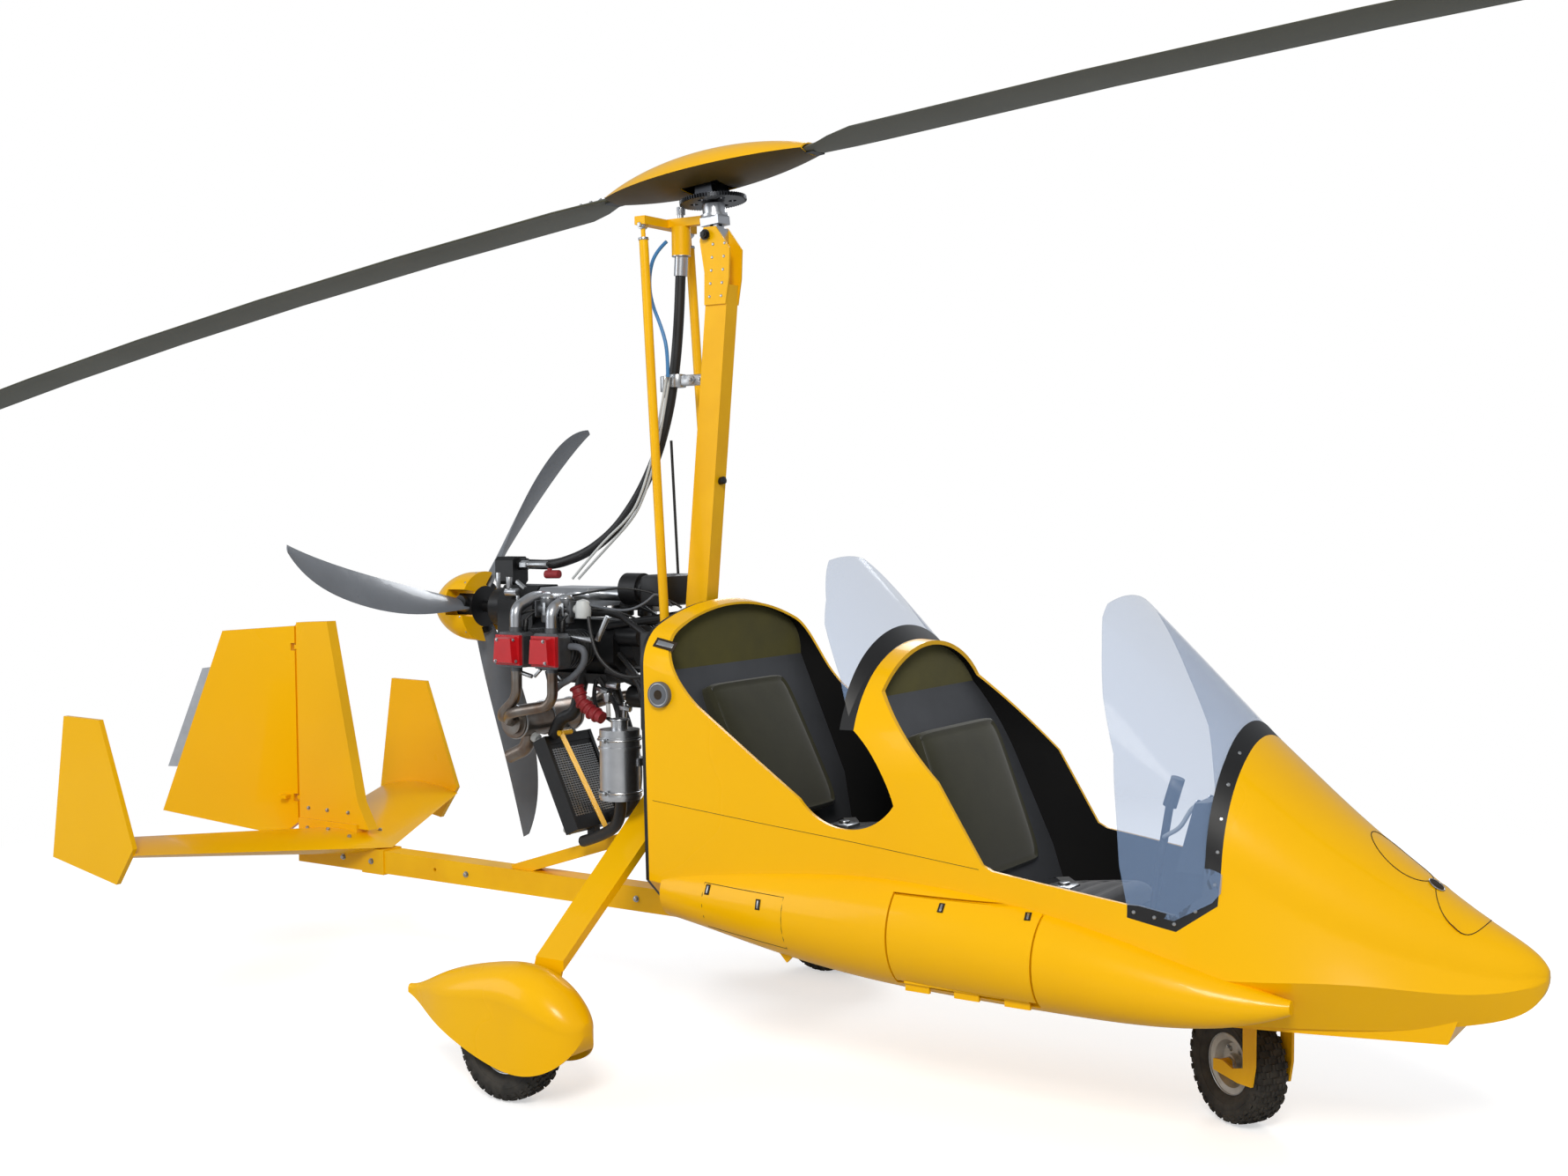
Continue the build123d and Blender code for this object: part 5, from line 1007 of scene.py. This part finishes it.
class GYRO_OT_engine(bpy.types.Operator):
    """Dresses the engine with its carburettors, ignition, hoses, cables and unions."""
    bl_idname = "gyro.engine"
    bl_label = "Engine"

    def execute(self, context):
        for finish, rods in ENGINE_RODS.items():
            bm = bmesh.new()
            for start, end, radius, sides in rods:
                add_rod(bm, metres(start), metres(end), radius / 1000, sides, bevel=radius / 1000 * 0.12)
            new_object(f"engine_fittings_{finish}", bm, finish)
        add_lines(ENGINE_LINES)
        for side, label in SIDES:
            self.carburettors(side, label)
        self.ignition()
        self.bellows()
        self.cooling()
        self.covers()
        return {"FINISHED"}

    def carburettors(self, side, label):
        body, caps, dome = bmesh.new(), bmesh.new(), bmesh.new()
        y = side * CARB_Y
        for x in CARB_X:
            add_rod(body, (x - 0.034, y, CARB_Z), (x + 0.034, y, CARB_Z), 0.021, 32, bevel=0.002)
            for flange in (x - 0.0345, x + 0.0345):
                add_box(body, (flange - 0.0035, y - 0.026, CARB_Z - 0.026),
                        (flange + 0.0035, y + 0.026, CARB_Z + 0.026), 0.003)
            for low, high, radius, sides, bevel in CARB_POSTS:
                add_post(body, x, y, CARB_Z + low, CARB_Z + high, radius, sides, bevel)
            cap = CARB_Z + 0.033
            add_post(caps, x, y, cap, cap + 0.012, 0.024, 32, 0.002, radius_end=0.016)
            for turn in range(4):
                angle = math.radians(45 + 90 * turn)
                add_bolt(caps, (x + 0.021 * math.cos(angle), y + 0.021 * math.sin(angle), cap), UP, 0.0034,
                         0.003, washer=False)
            lever = y + side * 0.034
            add_rod(caps, (x + 0.01, y + side * 0.02, CARB_Z), (x + 0.01, lever, CARB_Z), 0.006, 12)
            add_box(caps, (x + 0.004, lever - 0.001, CARB_Z - 0.02),
                    (x + 0.016, lever + 0.001, CARB_Z + 0.02), 0.0005)
        new_object(f"carburettors_{label}", body, "cast_aluminium")
        new_object(f"carburettor_caps_{label}", caps)
        add_lathe(dome, FILTER_PROFILE, (-0.372, y, 1.318), UP, 48, closed=False)
        add_rod(dome, (-0.402, y, CARB_Z), (-0.39, y, CARB_Z), 0.014, 24)
        new_object(f"carburettor_filter_{label}", dome, "pale_plastic")

    def ignition(self):
        boxes, sockets, plugs = bmesh.new(), bmesh.new(), bmesh.new()
        for low, high, bevel in (((-0.058, -0.315, 1.11), (0.001, -0.17, 1.29), 0.008),
                                 ((-0.058, 0.17, 1.11), (0.001, 0.315, 1.29), 0.008),
                                 ((-0.05, -0.33, 0.99), (0.001, -0.19, 1.095), 0.012)):
            add_box(boxes, low, high, bevel)
        add_post(boxes, -0.066, -0.115, 0.88, 1.01, 0.03, 32, 0.004)
        add_box(boxes, (-0.236, -0.09, 1.352), (-0.14, 0.09, 1.452), 0.018)
        add_rod(boxes, (-0.3, -0.05, 1.06), (-0.19, -0.05, 1.06), 0.036, 36, bevel=0.004)
        add_rod(boxes, (-0.19, -0.05, 1.06), (-0.165, -0.05, 1.06), 0.022, 30, bevel=0.003)
        new_object("ignition_boxes", boxes, "black_plastic")
        for z in (1.14, 1.17, 1.2, 1.23, 1.26):
            add_rod(sockets, (-0.066, -0.24, z), (-0.057, -0.24, z), 0.008, 16, bevel=0.001)
            add_rod(sockets, (-0.066, -0.205, z), (-0.057, -0.205, z), 0.006, 6)
        new_object("ignition_sockets", sockets)
        places = [(side, x, offset) for side in (-1, 1) for x in HEAD_X for offset in (-0.022, 0.022)]
        for count, (side, x, offset) in enumerate(places):
            low = Vector((x + offset, side * 0.236, 1.272))
            high = low + Vector((0, -side * 0.006, 0.038))
            add_rod(plugs, low, high, 0.0085, 16, bevel=0.0015)
            add_ring(plugs, low + (high - low) * 0.4, high - low, 0.0085, 0.0018, 20, 6)
            end = Vector((LEAD_END[0], side * LEAD_END[1], LEAD_END[2]))
            route = (high, high + Vector((0.01, -side * 0.02, 0.026)),
                     (x * 0.7 - 0.09, side * 0.13, 1.352 + offset * 0.3),
                     end + Vector((-0.05, side * 0.01, 0.02)), end)
            tube_piece(f"plug_lead_{count}", route, 0.0034, "hose_rubber")
        new_object("plug_caps", plugs, "black_plastic")

    def bellows(self):
        bm = bmesh.new()
        route = [Vector(metres(point)) for point in BELLOWS_ROUTE]
        for start, end in zip(route, route[1:]):
            for share in (0.0, 0.5):
                add_ring(bm, start.lerp(end, share), end - start, 0.02, 0.0052, 40, 10)
            add_rod(bm, start, end, 0.02, 32)
        new_object("intake_bellows", bm, "red_silicone")

    def cooling(self):
        headers, fins, strut, bands, tank = (bmesh.new() for _ in range(5))
        for y in (-0.088, 0.088):
            shift = Vector((-0.012, y, 0))
            add_rod(headers, RADIATOR_TOP + shift, RADIATOR_FOOT + shift, 0.0105, 24, bevel=0.002)
            for place in (RADIATOR_TOP + shift, RADIATOR_FOOT + shift):
                add_rod(headers, place + Vector((-0.012, 0, 0.004)), place + Vector((0.01, 0, -0.004)),
                        0.0165, 24, bevel=0.003)
        new_object("radiator_header", headers, "pale_plastic")
        down = (RADIATOR_FOOT - RADIATOR_TOP).normalized()
        face = down.cross(ACROSS).normalized()
        face = face if face.x > 0 else -face
        half_height, half_width, fin_count, tube_count = 0.118, 0.1, 30, 16
        fin = Vector((0.0012, half_width, 0.0012))
        for index in range(fin_count):
            share = (index + 0.5) / fin_count - 0.5
            for side in (-1, 1):
                at = RADIATOR_MIDDLE + down * share * 2 * half_height + face * side * 0.0228
                add_box(fins, at - fin, at + fin)
        for index in range(tube_count):
            y = ((index + 0.5) / tube_count * 2 - 1) * half_width
            for side in (-1, 1):
                at = RADIATOR_MIDDLE + face * side * 0.0226 + ACROSS * y
                add_rod(fins, at - down * half_height, at + down * half_height, 0.0016, 6)
        new_object("radiator_fins", fins)
        start, end = Vector((-0.579, -0.075, 0.926)), Vector((-0.386, -0.075, 0.617))
        add_rod(strut, start, end, 0.011, 4)
        for place, reach in ((start, 0.05), (end, 0.035)):
            add_rod(strut, place - ACROSS * 0.01, place + ACROSS * reach, 0.009, 16)
        new_object("radiator_strut", strut, "tube_paint", smooth=30)
        for y in (-0.14, 0.0, 0.14):
            add_ring(bands, (-0.72, y, 0.962), ACROSS, 0.0555, 0.003, 56, 8)
        new_object("silencer_bands", bands)
        add_post(tank, *OIL_TANK, 1.016, 1.022, 0.03, 32, 0.002)
        for z in (0.8, 0.96):
            add_ring(tank, (*OIL_TANK, z), UP, 0.0665, 0.0028, 56, 8)
            add_bolt(tank, (OIL_TANK[0], OIL_TANK[1] - 0.07, z), -ACROSS, 0.006, 0.008)
        new_object("oil_tank_bands", tank)

    def covers(self):
        bolts = bmesh.new()
        for side in (-1, 1):
            for x in (-0.598, -0.462):
                for dx, z in ((-0.036, 1.181), (0.036, 1.181), (-0.0288, 1.249), (0.0288, 1.249)):
                    place, _ = skin_point("valve_covers", x + dx, z, side)
                    add_bolt(bolts, place, ACROSS * side, 0.0042, 0.004)
        new_object("cover_bolts", bolts)


MAST_FOOT, MAST_TOP = Vector((-0.142, 0, 0.44)), Vector((0.041, 0, 2.35))
TEETER_PIVOT = (0.009, 2.505)              # x and z of the pivot in the cheek plates
ROD_TOP, ROD_LOW = (-0.176, 0.12, 2.542), (-0.092, 0.132, 1.16)   # ends of the left push rod
CLAMP_Z, KNOB_Z = 2.064, 1.745             # heights of the pipe clamp and of the mast's knob
BLADE_ROOTS = (("rotor_blade_front", 1), ("rotor_blade_rear", -1))
SPINNER_SCREWS = 12


def mast_at(z):
    """The mast's centre line at a height."""
    return MAST_FOOT.lerp(MAST_TOP, (z - MAST_FOOT.z) / (MAST_TOP.z - MAST_FOOT.z))


MAST_LINES = (
    # name, finish, then radius and points in mm
    ("brake_pipe_a", "pale_plastic", 4.2, ((-541, -50, 1434), (-488, -50, 1484), (-398, -50, 1564),
     (-317, -50, 1621), (-265, -50, 1677), (-214, -50, 1794), (-180, -45, 1932), (-150, -40, 2083))),
    ("brake_pipe_b", "pale_plastic", 4.2, ((-532, -30, 1433), (-475, -30, 1483), (-385, -30, 1558),
     (-311, -30, 1621), (-267, -30, 1677), (-215, -30, 1794), (-178, -30, 1933), (-148, -30, 2075))),
    ("brake_hose", "blue_hose", 5.8, ((-139, -50, 2074), (-138, -50, 2151), (-158, -50, 2224),
     (-205, -50, 2321), (-208, -50, 2404), (-190, -40, 2469), (-152, -30, 2500))),
    ("trim_rod", "black_powder", 4.5, ((-201, 45, 1879), (-190, 45, 1662), (-179, 45, 1441))),
)


def bolts_on(bm, node, x, z, radius, height):
    """A bolt head on either side of a CAD node."""
    for side in (-1, 1):
        add_bolt(bm, skin_point(node, x, z, side)[0], ACROSS * side, radius, height)


class GYRO_OT_mast(bpy.types.Operator):
    """Adds the mast's rivets, nuts, clamp and pipes and the fixings of push rods, blades and spinner."""
    bl_idname = "gyro.mast"
    bl_label = "Mast"

    def execute(self, context):
        silver, dark, bearings, bolts, screws = (bmesh.new() for _ in range(5))
        for side in (-1, 1):
            out = ACROSS * side
            for z in (2.315, 2.355, 2.395, 2.435, 2.475):
                for shift in (-0.022, 0.022):
                    place, _ = skin_point("mast_cheek_plates", mast_at(z).x + shift, z, side)
                    add_rod(silver, place, place + out * 0.0022, 0.0048, 16, radius_end=0.003)
            pivot = Vector((TEETER_PIVOT[0], 0, TEETER_PIVOT[1]))
            add_bolt(dark, pivot + out * 0.046, out, 0.0125, 0.01)
            add_rod(dark, pivot + out * 0.055, pivot + out * 0.062, 0.0065, 16)
            rod_top, rod_low = (Vector((x, side * y, z)) for x, y, z in (ROD_TOP, ROD_LOW))
            add_pin(bearings, rod_top, 0.011, 0.0135)
            add_bolt(bearings, rod_top + out * 0.011, out, 0.008, 0.007)
            add_pin(bearings, rod_low, 0.011, 0.0135)
            wall = Vector((0.001, rod_low.y, rod_low.z))
            add_rod(dark, rod_low, wall, 0.009, 20)
            add_rod(dark, wall - Vector((0.007, 0, 0)), wall, 0.026, 28)
            for share in (0.028, 0.966):
                add_rod(silver, rod_top.lerp(rod_low, share), rod_top.lerp(rod_low, share + 0.006),
                        0.0165, 28, bevel=0.001)
        clamp = mast_at(CLAMP_Z)
        lobe = clamp + Vector((-0.152, 0, 0))
        add_rod(silver, lobe - UP * 0.021, lobe + UP * 0.021, 0.027, 36, bevel=0.003)
        add_box(silver, clamp + Vector((-0.15, -0.014, -0.017)),
                clamp + Vector((-0.034, 0.014, 0.017)), 0.004)
        for shift in (-0.085, -0.05):
            place = clamp + Vector((shift, 0, 0))
            add_pin(silver, place, 0.02, 0.012)
            add_bolt(silver, place - ACROSS * 0.02, -ACROSS, 0.006, 0.005)
        lobe = clamp + Vector((-0.192, -0.01, -0.004))
        add_rod(silver, lobe - UP * 0.03, lobe + UP * 0.02, 0.017, 28, bevel=0.003)
        add_rod(silver, lobe - UP * 0.048, lobe - UP * 0.03, 0.01, 20)
        knob = mast_at(KNOB_Z) + Vector((0.036, 0, 0))
        add_rod(dark, knob, knob + Vector((0.022, 0, 0.004)), 0.012, 28, bevel=0.003)
        for z in (0.56, 0.68, 1.2, 1.29):
            bolts_on(silver, "mast_tube", mast_at(z).x, z, 0.007, 0.006)
        new_object("mast_rivets", silver)
        new_object("mast_fixings", dark, "black_powder")
        new_object("push_rod_bearings", bearings, "machined_aluminium")
        add_lines(MAST_LINES)
        for node, sign in BLADE_ROOTS:
            for reach in (0.43, 0.47, 0.51):
                for y in (-0.014, 0.014):
                    add_bolt(bolts, *top_point(node, sign * reach, y), 0.006, 0.0035)
        new_object("blade_root_bolts", bolts, body="rotor")
        for index in range(SPINNER_SCREWS):
            angle = math.tau * (index + 0.5) / SPINNER_SCREWS
            out = Vector((0, math.cos(angle), math.sin(angle)))
            # none where one of the three blades comes out of the spinner
            if abs(((math.degrees(angle) - 50.5) + 180) % 120 - 60) > 18:
                add_screw(screws, PROP_HUB + Vector((0.022, 0, 0)) + out * 0.1198, out, 0.0038)
        new_object("spinner_screws", screws, body="propeller")
        return {"FINISHED"}


class GYRO_OT_tail(bpy.types.Operator):
    """Adds the bolts of the keel, stabiliser and fin."""
    bl_idname = "gyro.tail"
    bl_label = "Tail"

    def execute(self, context):
        bolts = bmesh.new()
        for x in (-0.3, -0.42, -1.05, -1.51, -1.66, -1.86):
            bolts_on(bolts, "keel_tube", x, 0.4, 0.008, 0.007)
        for x in (-1.59, -1.7, -1.81):
            for y in (-0.075, 0.075):
                add_bolt(bolts, *top_point("stabiliser", x, y), 0.0065, 0.006)
        for x in (-1.65, -1.76, -1.86):
            bolts_on(bolts, "fin", x, 0.56, 0.0055, 0.005)
        new_object("tail_bolts", bolts)
        return {"FINISHED"}


class GYRO_PT_panel(bpy.types.Panel):
    """Lists the gyrocopter's pieces in the sidebar."""
    bl_idname = "GYRO_PT_panel"
    bl_label = "Gyrocopter"
    bl_space_type = "VIEW_3D"
    bl_region_type = "UI"
    bl_category = "Gyrocopter"

    def draw(self, context):
        looks = context.scene.gyro_looks
        for key in ("paint", "liner", "blade", "tread_depth", "camera_height"):
            self.layout.prop(looks, key)
        for operator in OPERATORS:
            self.layout.operator(operator.bl_idname)


OPERATORS = (GYRO_OT_stage, GYRO_OT_skins, GYRO_OT_wheels, GYRO_OT_shell_fittings,
             GYRO_OT_seats, GYRO_OT_cockpit, GYRO_OT_engine, GYRO_OT_mast, GYRO_OT_tail)
CLASSES = (GyroLooks, *OPERATORS, GYRO_PT_panel)


def register():
    for item in CLASSES:
        bpy.utils.register_class(item)
    bpy.types.Scene.gyro_looks = bpy.props.PointerProperty(type=GyroLooks)


def unregister():
    del bpy.types.Scene.gyro_looks
    for item in reversed(CLASSES):
        bpy.utils.unregister_class(item)


def main():
    register()
    make_finishes(bpy.context.scene.gyro_looks)
    for operator in OPERATORS:
        group, name = operator.bl_idname.split(".")
        getattr(getattr(bpy.ops, group), name)()


if __name__ == "__main__":
    main()
